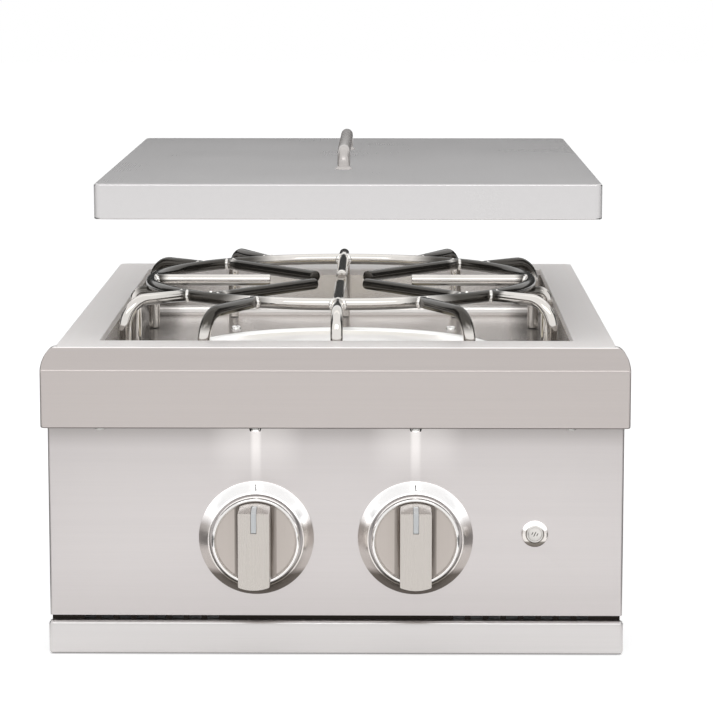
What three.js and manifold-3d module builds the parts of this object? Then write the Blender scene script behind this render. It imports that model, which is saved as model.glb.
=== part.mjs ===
// Built-in outdoor side burner, millimetres, +Z up, the control panel facing -Y.
// Every piece is worked out from the named sizes below. Heights count from the
// underside of the base, depths from the front face of the lip, and the
// finished group is moved so that its origin is under the middle of its box.

import * as THREE from 'three';
import { mergeVertices } from 'three/addons/utils/BufferGeometryUtils.js';
import Module from 'manifold-3d';

const wasm = await Module();
wasm.setup();

// Fits and sheet
const sheet = 1.2;
const gap = 0.3;
const overrun = 3;
const weldSize = 0.0001;

// Top frame: flat flange, bevel and front lip
const topHeight = 212;
const frameWidth = 377;
const frameDepth = 494;
const frontStrip = 33;
const openingWidth = 322;
const openingDepth = 422;
const hemWidth = 9;
const hemDrop = 1.4;
const cornerClip = 4;
const turnDown = 5;
const lipWidth = 394;
const lipHeight = 39;
const bevelDrop = 14;
const bevelRun = 14;
const bevelSteps = 6;
const lipScrewX = 158;
const lipScrewRadius = 4;
const lipScrewHead = 2.2;
const lipScrewShank = 2;
const lipScrewLength = 8;
const lipScrewBackShare = 0.45;

// Lid and its handle
const lidWidth = 343;
const lidDepth = 438;
const lidHeight = 24;
const lidCorner = 5;
const lidBend = 1.4;
const lidSetback = 25;
const lidSideways = 8;
const lidLift = 83;
const handleBar = 9;
const handleRise = 17;
const handleBend = 11;
const handleLengthShare = 0.43;
const handleSideways = 3.5;

// Grate
const rod = 8.5;
const ringRadius = 142;
const ringRise = 16;
const fingerTip = 30;
const sideFingerTip = 53;
const legBend = 19;
const sideLegBend = 6;
const footCentre = 198;
const footInnerX = 91;
const footInnerY = 196;
const footCornerX = 151;
const footCornerY = 129;
const footSide = 154.5;
const diagonalAngle = 50;
const innerLegAngle = 65.5;
const cornerLegAngle = 40;

// Pan, bowl and burners
const panSheet = 1;
const panRim = 8;
const panDepth = 38;
const bowlRadius = 116;
const bowlRim = 7;
const bowlBead = 1.8;
const bowlNeck = 8;
const bowlDepth = 34;
const bowlFloorRadius = 98;
const baseHole = 76;
const baseRadius = 84;
const baseThickness = 5;
const outerBurnerIn = 52;
const outerBurnerOut = 74;
const innerBurnerRadius = 25;
const burnerHeight = 15;
const capThickness = 5;
const capOverhang = 1.5;
const portWidth = 2;
const portDepth = 4;
const electrodeRadius = 3.5;
const electrodeTip = 1.5;
const electrodeRise = 19;
const electrodeOffset = 5;

// Gas train
const venturiRadius = 11;
const venturiWall = 1.5;
const venturiBend = 24;
const venturiSwing = 190;
const manifoldRadius = 10;
const manifoldY = 62;
const inletRadius = 9;
const inletX = 120;
const valveWidth = 24;
const valveDepth = 32;
const valveHeight = 26;
const neckRadius = 9;
const neckLength = 8;
const neckBore = 10;
const jetRadius = 5;
const jetLength = 9;

// Body
const shellWidth = 350;
const shellBack = 488;
const ventSlotLength = 46;
const ventSlotHeight = 5;
const ventSlotPitch = 13;
const ventSlotRows = 3;
const backSlotHeightShare = 0.42;
const sideSlotBackShare = 0.72;

// Front panel, vent strip and bottom rail
const panelSetback = 24;
const panelWidth = 390;
const panelBottom = 26;
const panelReturn = 18;
const railWidth = 391;
const railHeight = 23;
const railSetback = 18;
const railRound = 3;
const stripTop = 36;
const stripBottom = 12;
const slotPitch = 12;
const slotWidth = 8;
const slotHeight = 2.8;
const slotStart = 84;
const slotCount = 8;

// Knobs
const knobX = 54;
const knobZ = 80;
const knobRadius = 30;
const knobFace = 27.5;
const knobSkirt = 10;
const knobReach = 43;
const knobStandoff = 4.3;
const knobEdge = 1.5;
const gripWidth = 21;
const gripRadius = 27.2;
const gripSlope = 2.2;
const gripSlopeRun = 12;
const pointerWidth = 4;
const pointerLength = 13.5;
const pointerWrap = 16;
const pointerDepth = 3;
const bezelRadius = 39;
const bezelTop = 32.3;
const bezelHeight = 8;
const stemRadius = 4;
const stemGrip = 14;
const collarRadius = 8;
const collarThickness = 2;
const pushTravel = 3;
const panelHole = 13;

// Igniter and lamps
const buttonX = 135;
const buttonZ = 83;
const buttonRadius = 5.75;
const buttonRise = 2.5;
const buttonLength = 12;
const buttonBezelRadius = 9;
const buttonBezelRise = 2;
const buttonHole = 7.4;
const moduleRadius = 11;
const moduleLength = 52;
const leadRadius = 1.5;
const leadBend = 14;
const leadDrop = 22;
const lampWidth = 9;
const lampDepth = 9;
const lampHeight = 4.5;

// Round pieces: how many sides or steps
const roundSides = 48;
const smallSides = 24;
const rodSides = 8;
const ringSteps = 64;
const arcSteps = 5;
const cornerSteps = 3;

// Places that follow from the sizes
const frameFront = bevelRun;
const frameBack = frameFront + frameDepth;
const openingFront = frameFront + frontStrip;
const openingBack = openingFront + openingDepth;
const centreY = (openingFront + openingBack) / 2;
const underFrame = topHeight - sheet;
const bevelZ = topHeight - bevelDrop;
const lipBottom = bevelZ - lipHeight;
const lipDepth = panelSetback - gap;
const panFloor = topHeight - panDepth;
const panTop = underFrame - gap;
const bowlBottom = panFloor - bowlDepth;
const baseBottom = bowlBottom + panSheet + gap;
const baseTop = baseBottom + baseThickness;
const ringZ = topHeight + ringRise;
const rodRadius = rod / 2;
const footZ = panFloor + gap;
const lidZ = topHeight + gap + lidLift;
const lidFront = frameFront + lidSetback;
const lidMiddle = lidFront + lidDepth / 2;
const knobBack = panelSetback - knobStandoff;
const knobFront = panelSetback - knobReach;
const panelBack = panelSetback + sheet;
const collarFront = panelBack + gap;
const neckFront = collarFront + collarThickness + pushTravel + gap;
const valveFront = neckFront + neckLength;
const valveBack = valveFront + valveDepth;
const jetBack = valveBack + jetLength;
const manifoldZ = knobZ - valveHeight / 2 - gap - manifoldRadius;
const shellInner = shellWidth / 2 - sheet;
const burnerMiddle = (outerBurnerIn + outerBurnerOut) / 2;
const outerInletY = centreY - Math.sqrt(burnerMiddle ** 2 - knobX ** 2);
const middleY = (knobFront + frameBack) / 2;

const finishes = {
  brushed: { color: 0xd2cecb, roughness: 0.38, metalness: 1 },
  polished: { color: 0xdedcda, roughness: 0.12, metalness: 1 },
  satin: { color: 0xcbc4be, roughness: 0.3, metalness: 1 },
  rodSteel: { color: 0xb5b0ac, roughness: 0.14, metalness: 1 },
  galvanised: { color: 0xa9abac, roughness: 0.45, metalness: 1 },
  castIron: { color: 0x3a3836, roughness: 0.6, metalness: 0.6 },
  brass: { color: 0xc2a05a, roughness: 0.3, metalness: 1 },
  blackPlastic: { color: 0x1c1c1d, roughness: 0.5, metalness: 0 },
  clear: { color: 0xdfe8f0, roughness: 0.1, metalness: 0 },
  ceramic: { color: 0xf0ece2, roughness: 0.35, metalness: 0 },
};

// Merge shared corners, drop empty triangles and turn the faces outwards.
function closed(geometry) {
  const bare = geometry.clone();
  bare.deleteAttribute('normal');
  bare.deleteAttribute('uv');
  const merged = mergeVertices(bare, weldSize);
  const old = merged.index.array;
  const place = merged.attributes.position;
  const kept = [];
  const a = new THREE.Vector3();
  const b = new THREE.Vector3();
  const c = new THREE.Vector3();
  let volume = 0;
  for (let i = 0; i < old.length; i += 3) {
    const [p, q, r] = [old[i], old[i + 1], old[i + 2]];
    if (p === q || q === r || r === p) continue;
    kept.push(p, q, r);
    a.fromBufferAttribute(place, p);
    b.fromBufferAttribute(place, q);
    c.fromBufferAttribute(place, r);
    volume += a.dot(b.cross(c));
  }
  if (volume < 0) kept.reverse();
  merged.setIndex(kept);
  return merged;
}

function toSolid(geometry) {
  const shape = closed(geometry);
  return new wasm.Manifold(new wasm.Mesh({
    numProp: 3,
    vertProperties: new Float32Array(shape.attributes.position.array),
    triVerts: new Uint32Array(shape.index.array),
  }));
}

function fromSolid(solid) {
  const mesh = solid.getMesh();
  const geometry = new THREE.BufferGeometry();
  geometry.setAttribute('position', new THREE.BufferAttribute(mesh.vertProperties, 3));
  geometry.setIndex(new THREE.BufferAttribute(mesh.triVerts, 1));
  return geometry;
}

function join(first, ...others) {
  let solid = toSolid(first);
  for (const other of others) solid = solid.add(toSolid(other));
  return fromSolid(solid);
}

function cut(first, ...tools) {
  let solid = toSolid(first);
  for (const tool of tools) solid = solid.subtract(toSolid(tool));
  return fromSolid(solid);
}

function common(first, second) {
  return fromSolid(toSolid(first).intersect(toSolid(second)));
}

// A block from its low corner to its high corner.
function block(x0, x1, y0, y1, z0, z1) {
  const geometry = new THREE.BoxGeometry(x1 - x0, y1 - y0, z1 - z0);
  geometry.translate((x0 + x1) / 2, (y0 + y1) / 2, (z0 + z1) / 2);
  return geometry;
}

// A closed body through a stack of rings with equal numbers of points.
function loft(rings) {
  const count = rings[0].length;
  const points = rings.flat();
  const index = [];
  for (let k = 0; k + 1 < rings.length; k += 1) {
    for (let i = 0; i < count; i += 1) {
      const j = (i + 1) % count;
      const low = k * count;
      const high = low + count;
      index.push(low + i, low + j, high + j, low + i, high + j, high + i);
    }
  }
  const top = (rings.length - 1) * count;
  for (let i = 1; i + 1 < count; i += 1) {
    index.push(0, i + 1, i, top, top + i, top + i + 1);
  }
  const geometry = new THREE.BufferGeometry().setFromPoints(points);
  geometry.setIndex(index);
  return geometry;
}

// A rectangle with round corners at one height.
function roundRing(width, depth, radius, x, y, z) {
  const ring = [];
  const corners = [[1, 1], [-1, 1], [-1, -1], [1, -1]];
  corners.forEach(([sx, sy], quarter) => {
    for (let i = 0; i <= cornerSteps; i += 1) {
      const turn = (quarter + i / cornerSteps) * Math.PI / 2;
      const px = x + sx * (width / 2 - radius) + radius * Math.cos(turn);
      const py = y + sy * (depth / 2 - radius) + radius * Math.sin(turn);
      ring.push(new THREE.Vector3(px, py, z));
    }
  });
  return ring;
}

// A turned piece about +Z from [radius, height] pairs.
function turned(profile, sides = roundSides) {
  const points = profile.map(([r, h]) => new THREE.Vector2(r, h));
  const geometry = new THREE.LatheGeometry(points, sides);
  geometry.rotateX(Math.PI / 2);
  return geometry;
}

function closeLoop(profile) {
  return [...profile, profile[0]];
}

// A turned piece whose axis points at the viewer, its height counted towards -Y.
function facing(geometry, x, y, z) {
  const placed = geometry.clone();
  placed.rotateX(Math.PI / 2);
  placed.translate(x, y, z);
  return placed;
}

function disc(radius, height, sides = smallSides) {
  const geometry = new THREE.CylinderGeometry(radius, radius, height, sides);
  geometry.rotateX(Math.PI / 2);
  geometry.translate(0, 0, height / 2);
  return geometry;
}

// A path through stations, one extrusion step between each two.
class StationPath extends THREE.Curve {
  constructor(stations) {
    super();
    this.stations = stations;
  }

  getPoint(t, target = new THREE.Vector3()) {
    const last = this.stations.length - 1;
    const place = Math.min(Math.max(t, 0), 1) * last;
    const k = Math.min(Math.floor(place), last - 1);
    return target.lerpVectors(this.stations[k], this.stations[k + 1], place - k);
  }

  getTangent(t, target = new THREE.Vector3()) {
    const last = this.stations.length - 1;
    const k = Math.round(t * last);
    const before = this.stations[Math.max(k - 1, 0)];
    const after = this.stations[Math.min(k + 1, last)];
    return target.subVectors(after, before).normalize();
  }

  getUtoTmapping(u) {
    return u;
  }
}

// Stations along straight runs with each corner rounded to a bend radius.
function bentStations(corners, bend) {
  const stations = [corners[0].clone()];
  for (let i = 1; i + 1 < corners.length; i += 1) {
    const here = corners[i];
    const back = corners[i - 1].clone().sub(here).normalize();
    const ahead = corners[i + 1].clone().sub(here).normalize();
    const half = back.angleTo(ahead) / 2;
    const reach = bend / Math.tan(half);
    const middle = back.clone().add(ahead).normalize().multiplyScalar(bend / Math.sin(half)).add(here);
    const from = here.clone().addScaledVector(back, reach).sub(middle);
    const to = here.clone().addScaledVector(ahead, reach).sub(middle);
    const sweep = from.angleTo(to);
    for (let k = 0; k <= arcSteps; k += 1) {
      const share = k / arcSteps;
      const a = Math.sin((1 - share) * sweep) / Math.sin(sweep);
      const b = Math.sin(share * sweep) / Math.sin(sweep);
      stations.push(middle.clone().addScaledVector(from, a).addScaledVector(to, b));
    }
  }
  stations.push(corners[corners.length - 1].clone());
  return stations;
}

function roundShape(radius, sides) {
  const shape = new THREE.Shape();
  for (let i = 0; i < sides; i += 1) {
    const turn = (i + 1 / 2) * 2 * Math.PI / sides;
    const point = [radius * Math.cos(turn), radius * Math.sin(turn)];
    if (i === 0) shape.moveTo(...point);
    else shape.lineTo(...point);
  }
  shape.closePath();
  return shape;
}

function tube(stations, radius, sides, bore = 0) {
  const shape = roundShape(radius, sides);
  if (bore > 0) shape.holes.push(roundShape(bore, sides));
  return new THREE.ExtrudeGeometry(shape, {
    steps: stations.length - 1,
    curveSegments: 1,
    bevelEnabled: false,
    extrudePath: new StationPath(stations),
  });
}

function at(x, y, z) {
  return new THREE.Vector3(x, y, z);
}

// A flat plate between two heights from an outline in the XY plane.
function plate(outline, z0, z1) {
  const shape = new THREE.Shape(outline.map(([x, y]) => new THREE.Vector2(x, y)));
  const geometry = new THREE.ExtrudeGeometry(shape, { depth: z1 - z0, bevelEnabled: false });
  geometry.translate(0, 0, z0);
  return geometry;
}

// Rectangular rings up the lip: straight face, then the bevel drawn in at its ends.
function lipBody(inset, back) {
  const slope = bevelRun / bevelDrop;
  const slant = Math.sqrt(1 + slope ** 2);
  const start = bevelZ - inset * (slant - 1) / slope;
  const flangeHalf = frameWidth / 2;
  const ends = lipWidth / 2 - flangeHalf;
  const rings = [];
  const level = (z, front) => {
    const rise = Math.min(Math.max((z - bevelZ) / bevelDrop, 0), 1);
    const half = flangeHalf + ends * Math.sqrt(1 - rise ** 2) - inset;
    rings.push([at(-half, front, z), at(half, front, z), at(half, back, z), at(-half, back, z)]);
  };
  level(lipBottom + inset, inset);
  level(start, inset);
  for (let i = 1; i <= bevelSteps; i += 1) {
    const z = start + (topHeight - inset - start) * Math.sin(i / bevelSteps * Math.PI / 2);
    level(z, slope * (z - bevelZ) + inset * slant);
  }
  return loft(rings);
}

function makeTopFrame() {
  const half = frameWidth / 2;
  const outline = [
    [-half, frameFront], [half, frameFront], [half, frameBack - cornerClip],
    [half - cornerClip, frameBack], [cornerClip - half, frameBack], [-half, frameBack - cornerClip],
  ];
  const flange = plate(outline, underFrame, topHeight);
  const hemTop = topHeight - sheet / 2;
  const hemBottom = underFrame - hemDrop;
  const hemBack = frameBack - cornerClip;
  const hems = [
    block(-half, hemWidth - half, lipDepth, hemBack, hemBottom, hemTop),
    block(half - hemWidth, half, lipDepth, hemBack, hemBottom, hemTop),
    block(cornerClip - half, half - cornerClip, frameBack - hemWidth, frameBack, hemBottom, hemTop),
  ];
  const around = (margin, low, high) => block(
    -openingWidth / 2 - margin, openingWidth / 2 + margin,
    openingFront - margin, openingBack + margin, low, high,
  );
  const turnedEdge = around(sheet, topHeight - turnDown, topHeight);
  const well = around(0, topHeight - turnDown - overrun, topHeight + overrun);
  const lip = cut(lipBody(0, lipDepth), lipBody(sheet, lipDepth + overrun));
  const holes = [-1, 1].map((side) => {
    const hole = disc(lipScrewShank + gap, sheet + 2 * overrun);
    hole.translate(side * lipScrewX, lipDepth * lipScrewBackShare, lipBottom - overrun);
    return hole;
  });
  return cut(join(flange, lip, turnedEdge, ...hems), well, ...holes);
}

function makeLipScrew(side) {
  const geometry = turned([
    [0, 0], [lipScrewRadius * 3 / 4, 0], [lipScrewRadius, lipScrewHead / 2],
    [lipScrewRadius, lipScrewHead], [lipScrewShank, lipScrewHead],
    [lipScrewShank, lipScrewHead + lipScrewLength], [0, lipScrewHead + lipScrewLength],
  ], smallSides);
  geometry.translate(side * lipScrewX, lipDepth * lipScrewBackShare, lipBottom - lipScrewHead - gap);
  return geometry;
}

function makeLidPanel() {
  const ring = (inset, z) => roundRing(
    lidWidth - 2 * inset, lidDepth - 2 * inset, lidCorner - inset, lidSideways, lidMiddle, z,
  );
  const top = lidZ + lidHeight;
  const outer = loft([
    ring(0, lidZ), ring(0, top - lidBend), ring(lidBend / 3, top - lidBend / 3), ring(lidBend, top),
  ]);
  const inner = loft([ring(sheet, lidZ - overrun), ring(sheet, top - sheet)]);
  return cut(outer, inner);
}

function makeLidHandle() {
  const half = lidDepth * handleLengthShare / 2;
  const low = lidZ + lidHeight + gap;
  const high = lidZ + lidHeight + handleRise - handleBar / 2;
  const stations = bentStations([
    at(handleSideways, lidMiddle - half, low), at(handleSideways, lidMiddle - half, high),
    at(handleSideways, lidMiddle + half, high), at(handleSideways, lidMiddle + half, low),
  ], handleBend);
  return tube(stations, handleBar / 2, smallSides / 2);
}

function polar(radius, degrees) {
  const turn = degrees * Math.PI / 180;
  return at(radius * Math.cos(turn), centreY + radius * Math.sin(turn), ringZ);
}

function makeGrateRing() {
  const geometry = new THREE.TorusGeometry(ringRadius, rodRadius, rodSides + 2, ringSteps);
  geometry.translate(0, centreY, ringZ);
  return geometry;
}

function makeFinger(degrees, tip) {
  const seat = ringRadius - rodRadius - gap;
  return tube([polar(tip, degrees), polar(seat, degrees)], rodRadius, rodSides);
}

// A leg from the outside of the ring, level and then down to the pan floor.
function makeLeg(degrees, footX, footY, bend) {
  const seat = ringRadius + rodRadius + gap;
  const start = polar(seat, degrees);
  const elbow = at(footX, centreY + footY, ringZ);
  const foot = at(footX, centreY + footY, footZ);
  return tube(bentStations([start, elbow, foot], bend), rodRadius, rodSides);
}

// The legs at the sides sit under the ring and turn down at once.
function makeSideLeg(side) {
  const level = ringZ - rod - gap;
  const start = at(side * (ringRadius - rodRadius), centreY, level);
  const elbow = at(side * footSide, centreY, level);
  const foot = at(side * footSide, centreY, footZ);
  return tube(bentStations([start, elbow, foot], sideLegBend), rodRadius, rodSides);
}

function makeBurnerPan() {
  const x = openingWidth / 2 + sheet + gap;
  const y0 = openingFront - sheet - gap;
  const y1 = openingBack + sheet + gap;
  const wall = panSheet;
  const bottom = panFloor - panSheet;
  const box = block(-x - wall, x + wall, y0 - wall, y1 + wall, bottom, panTop);
  const rim = block(
    -x - wall - panRim, x + wall + panRim, y0 - wall - panRim, y1 + wall + panRim,
    panTop - panSheet, panTop,
  );
  const well = block(-x, x, y0, y1, panFloor, panTop + overrun);
  const hole = disc(bowlRadius, panSheet + 2 * overrun, roundSides);
  hole.translate(0, centreY, bottom - overrun);
  return cut(join(box, rim), well, hole);
}

function makeBurnerBowl() {
  const seat = panFloor + gap;
  const outer = bowlRadius - gap;
  const inner = outer - panSheet;
  const bead = seat + bowlBead;
  const shoulder = panFloor - bowlNeck;
  const geometry = turned(closeLoop([
    [bowlRadius + bowlRim, seat], [outer, seat], [outer, shoulder],
    [bowlFloorRadius, bowlBottom], [baseHole, bowlBottom], [baseHole, bowlBottom + panSheet],
    [bowlFloorRadius - panSheet / 2, bowlBottom + panSheet], [inner, shoulder + panSheet / 2],
    [inner, bead - bowlBead / 3], [inner + bowlBead / 3, bead],
    [bowlRadius + bowlRim - bowlBead / 2, bead], [bowlRadius + bowlRim, seat + bowlBead / 3],
  ]));
  geometry.translate(0, centreY, 0);
  return geometry;
}

function inletHole(x, y) {
  const bore = venturiRadius - venturiWall;
  const hole = disc(bore, baseThickness + 2 * overrun);
  hole.translate(x, y, baseBottom - overrun);
  return hole;
}

function makeBurnerBase() {
  const base = turned([
    [0, baseBottom], [baseHole - gap, baseBottom], [baseRadius, baseBottom],
    [baseRadius, baseTop - gap], [baseRadius - gap, baseTop], [0, baseTop],
  ]);
  base.translate(0, centreY, 0);
  return cut(base, inletHole(-knobX, outerInletY), inletHole(0, centreY));
}

// Shallow slots round the top edge of a burner body let the gas out under its cap.
function portCuts(radius, count, top) {
  const cuts = [];
  for (let i = 0; i < count; i += 1) {
    const slot = block(radius - portDepth, radius + overrun, -portWidth / 2, portWidth / 2,
      top - portDepth / 2, top + overrun);
    slot.rotateZ(i / count * 2 * Math.PI);
    slot.translate(0, centreY, 0);
    cuts.push(slot);
  }
  return cuts;
}

function makeOuterBurner() {
  const low = baseTop + gap;
  const high = low + burnerHeight;
  const body = turned(closeLoop([
    [outerBurnerIn, low], [outerBurnerOut, low], [outerBurnerOut, high], [outerBurnerIn, high],
  ]));
  body.translate(0, centreY, 0);
  return cut(body, ...portCuts(outerBurnerOut, smallSides, high));
}

function makeOuterCap() {
  const low = baseTop + gap + burnerHeight + gap;
  const inner = outerBurnerIn - capOverhang;
  const outer = outerBurnerOut + capOverhang;
  const high = low + capThickness;
  const cap = turned(closeLoop([
    [inner, low], [outer, low], [outer, low + capThickness / 2],
    [outer - capThickness, high], [inner + capThickness, high], [inner, low + capThickness / 2],
  ]));
  cap.translate(0, centreY, 0);
  return cap;
}

function makeInnerBurner() {
  const low = baseTop + gap;
  const high = low + burnerHeight;
  const body = turned([[0, low], [innerBurnerRadius, low], [innerBurnerRadius, high], [0, high]]);
  body.translate(0, centreY, 0);
  return cut(body, ...portCuts(innerBurnerRadius, smallSides / 2, high));
}

function makeInnerCap() {
  const low = baseTop + gap + burnerHeight + gap;
  const outer = innerBurnerRadius + capOverhang;
  const cap = turned([
    [0, low], [outer, low], [outer, low + capThickness / 2],
    [outer - capThickness, low + capThickness], [0, low + capThickness],
  ]);
  cap.translate(0, centreY, 0);
  return cap;
}

// The spark electrode stands on the bowl floor beside the outer burner.
function electrodeX() {
  return baseRadius + electrodeOffset + electrodeRadius;
}

function makeElectrode() {
  const low = bowlBottom + panSheet + gap;
  const collar = electrodeRise * 3 / 4;
  const pin = turned([
    [0, low], [electrodeRadius, low], [electrodeRadius, low + collar], [electrodeTip, low + collar],
    [electrodeTip, low + electrodeRise], [0, low + electrodeRise],
  ], smallSides / 2);
  pin.translate(electrodeX(), centreY, 0);
  return pin;
}

function makeVenturi(corners) {
  return tube(bentStations(corners, venturiBend), venturiRadius, smallSides / 2,
    venturiRadius - venturiWall);
}

function makeOuterVenturi() {
  const start = jetBack + gap;
  return makeVenturi([
    at(-knobX, start, knobZ), at(-knobX, outerInletY, knobZ), at(-knobX, outerInletY, baseBottom - gap),
  ]);
}

function makeInnerVenturi() {
  const start = jetBack + gap;
  return makeVenturi([
    at(knobX, start, knobZ), at(knobX, venturiSwing, knobZ),
    at(0, centreY, knobZ), at(0, centreY, baseBottom - gap),
  ]);
}

// The manifold spans the body from side to side and turns back to the inlet.
function makeManifold() {
  const reach = shellInner - gap;
  const main = tube([at(-reach, manifoldY, manifoldZ), at(reach, manifoldY, manifoldZ)],
    manifoldRadius, smallSides / 2);
  const run = tube([
    at(-inletX, manifoldY, manifoldZ), at(-inletX, shellBack + overrun * 4, manifoldZ),
  ], inletRadius, smallSides / 2);
  return join(main, run);
}

function makeValve(side) {
  const x = side * knobX;
  const body = block(
    x - valveWidth / 2, x + valveWidth / 2, valveFront, valveBack,
    knobZ - valveHeight / 2, knobZ + valveHeight / 2,
  );
  const neck = facing(disc(neckRadius, neckLength + sheet), x, valveFront + sheet, knobZ);
  const jet = facing(disc(jetRadius, jetLength + sheet), x, jetBack, knobZ);
  const bore = facing(disc(stemRadius + gap, neckBore + overrun), x, neckFront + neckBore, knobZ);
  return cut(join(body, neck, jet), bore);
}

function makeStem(side) {
  const back = neckFront + neckBore - pushTravel - gap;
  const length = back - knobBack + stemGrip - gap;
  return facing(disc(stemRadius, length), side * knobX, back, knobZ);
}

function makeCollar(side) {
  const geometry = turned(closeLoop([
    [stemRadius + gap, 0], [collarRadius, 0], [collarRadius, collarThickness],
    [stemRadius + gap, collarThickness],
  ]), smallSides);
  return facing(geometry, side * knobX, collarFront + collarThickness, knobZ);
}

// The grip bar, drawn at a knob's axis: a straight bar with round ends, sloped at its top end.
function gripBar() {
  const reach = knobReach - knobStandoff;
  const low = knobSkirt - 2 * knobEdge;
  const bar = common(
    block(-gripWidth / 2, gripWidth / 2, -gripRadius, gripRadius, low, reach),
    disc(gripRadius, reach, roundSides),
  );
  const side = (x, y, z) => [at(-x, y, z), at(x, y, z), at(x, y, reach + overrun), at(-x, y, reach + overrun)];
  const slope = loft([
    side(gripWidth, gripRadius - gripSlope, reach),
    side(gripWidth, gripRadius + overrun, reach - gripSlopeRun),
  ]);
  return cut(bar, slope);
}

// The pointer's room: a slot along the bar's face that turns down over its top end.
function pointerRoom(margin) {
  const reach = knobReach - knobStandoff;
  const half = pointerWidth / 2 - margin;
  const foot = gripRadius - gripSlope - pointerLength + margin;
  const floor = reach - pointerDepth + margin;
  const along = block(-half, half, foot, gripRadius + overrun, floor, reach + overrun);
  const over = block(-half, half, gripRadius - pointerDepth + margin, gripRadius + overrun,
    reach - pointerWrap + margin, reach + overrun);
  return join(along, over);
}

function makeKnob(side) {
  const bore = stemRadius + gap;
  const body = turned([
    [0, stemGrip], [bore, stemGrip], [bore, 0], [knobRadius - knobEdge, 0], [knobRadius, knobEdge],
    [knobRadius, knobSkirt - 2 * knobEdge], [knobRadius - knobEdge, knobSkirt],
    [knobFace, knobSkirt], [knobFace, knobSkirt - knobEdge], [bore, knobSkirt - knobEdge],
    [bore, knobSkirt + stemGrip], [0, knobSkirt + stemGrip],
  ]);
  const stemHole = disc(bore, stemGrip + overrun);
  stemHole.translate(0, 0, -overrun);
  const knob = cut(join(body, gripBar()), pointerRoom(0), stemHole);
  return facing(knob, side * knobX, knobBack, knobZ);
}

function makePointer(side) {
  return facing(common(gripBar(), pointerRoom(gap)), side * knobX, knobBack, knobZ);
}

function makeBezel(side) {
  const inner = knobRadius + knobEdge;
  const ring = turned(closeLoop([
    [inner, gap], [bezelRadius, gap], [bezelRadius, bezelHeight / 6], [bezelTop, bezelHeight],
    [inner, bezelHeight],
  ]));
  return facing(ring, side * knobX, panelSetback, knobZ);
}

function makeFrontPanel() {
  const half = panelWidth / 2;
  const top = bevelZ - gap;
  const face = block(-half, half, panelSetback, panelBack, panelBottom, top);
  const returns = [-1, 1].map((side) => block(
    Math.min(side * half, side * (half - sheet)), Math.max(side * half, side * (half - sheet)),
    panelSetback, panelSetback + panelReturn, panelBottom, top,
  ));
  const hole = (radius, x, z) => facing(disc(radius, sheet + 2 * overrun), x, panelBack + overrun, z);
  return cut(join(face, ...returns), hole(panelHole, -knobX, knobZ), hole(panelHole, knobX, knobZ),
    hole(buttonHole, buttonX, buttonZ));
}

function makeVentStrip() {
  const front = panelBack + gap;
  const reach = panelWidth / 2 - sheet - gap;
  const bar = block(-reach, reach, front, front + sheet, stripBottom, stripTop);
  const middle = (panelBottom + railHeight) / 2;
  const slots = [];
  for (const side of [-1, 1]) {
    for (let i = 0; i < slotCount; i += 1) {
      const x = side * (slotStart + i * slotPitch);
      slots.push(block(x - slotWidth / 2, x + slotWidth / 2, front - overrun, front + sheet + overrun,
        middle - slotHeight / 2, middle + slotHeight / 2));
    }
  }
  return cut(bar, ...slots);
}

function makeBottomRail() {
  const half = railWidth / 2;
  const front = railSetback;
  const back = panelBack;
  const ring = (inset, y) => [
    at(-half + inset, y, inset), at(half - inset, y, inset),
    at(half - inset, y, railHeight - inset), at(-half + inset, y, railHeight - inset),
  ];
  const outer = loft([
    ring(railRound * 3 / 4, front), ring(railRound / 5, front + railRound / 4),
    ring(0, front + railRound), ring(0, back),
  ]);
  const hollow = block(
    sheet - half, half - sheet, front + sheet, back + overrun, sheet, railHeight - sheet,
  );
  return cut(outer, hollow);
}

function makeBodyShell() {
  const half = shellWidth / 2;
  const front = panelBack + gap + sheet + gap;
  const top = underFrame - gap;
  const outer = block(-half, half, front, shellBack, 0, top);
  const hollow = block(-shellInner, shellInner, front - overrun, shellBack + overrun, sheet, top + overrun);
  const slots = [];
  const y = front + (shellBack - front) * sideSlotBackShare;
  for (let i = 0; i < ventSlotRows; i += 1) {
    const z = knobZ + i * ventSlotPitch;
    slots.push(block(-half - overrun, half + overrun, y, y + ventSlotLength, z, z + ventSlotHeight));
  }
  return cut(outer, hollow, ...slots);
}

function makeBackPanel() {
  const reach = shellInner - gap;
  const back = shellBack - gap;
  const wall = block(-reach, reach, back - sheet, back, sheet + gap, underFrame - gap);
  const inlet = facing(disc(inletRadius + gap, sheet + 2 * overrun), -inletX, back + overrun, manifoldZ);
  const slots = [];
  for (let i = 0; i < ventSlotRows; i += 1) {
    const z = topHeight * backSlotHeightShare + i * ventSlotPitch;
    for (const side of [-1, 1]) {
      const x = side * ventSlotLength;
      slots.push(block(x - ventSlotLength / 2, x + ventSlotLength / 2, back - sheet - overrun,
        back + overrun, z, z + ventSlotHeight));
    }
  }
  return cut(wall, inlet, ...slots);
}

function makeButton() {
  const profile = [
    [0, 0], [buttonRadius, 0], [buttonRadius, buttonLength - buttonRise / 3],
    [buttonRadius - buttonRise / 3, buttonLength], [0, buttonLength],
  ];
  return facing(turned(profile, smallSides), buttonX, panelSetback - buttonRise + buttonLength, buttonZ);
}

function makeButtonBezel() {
  const inner = buttonRadius + gap;
  const ring = turned(closeLoop([
    [inner, -sheet], [buttonHole - gap, -sheet], [buttonHole - gap, gap], [buttonBezelRadius, gap],
    [buttonBezelRadius, buttonBezelRise / 2], [buttonHole, buttonBezelRise], [inner, buttonBezelRise],
  ]), smallSides);
  return facing(ring, buttonX, panelSetback, buttonZ);
}

// The pulse igniter hangs behind the panel, with a bore for the button to press into.
function moduleBack() {
  return panelBack + gap + moduleLength;
}

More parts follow.
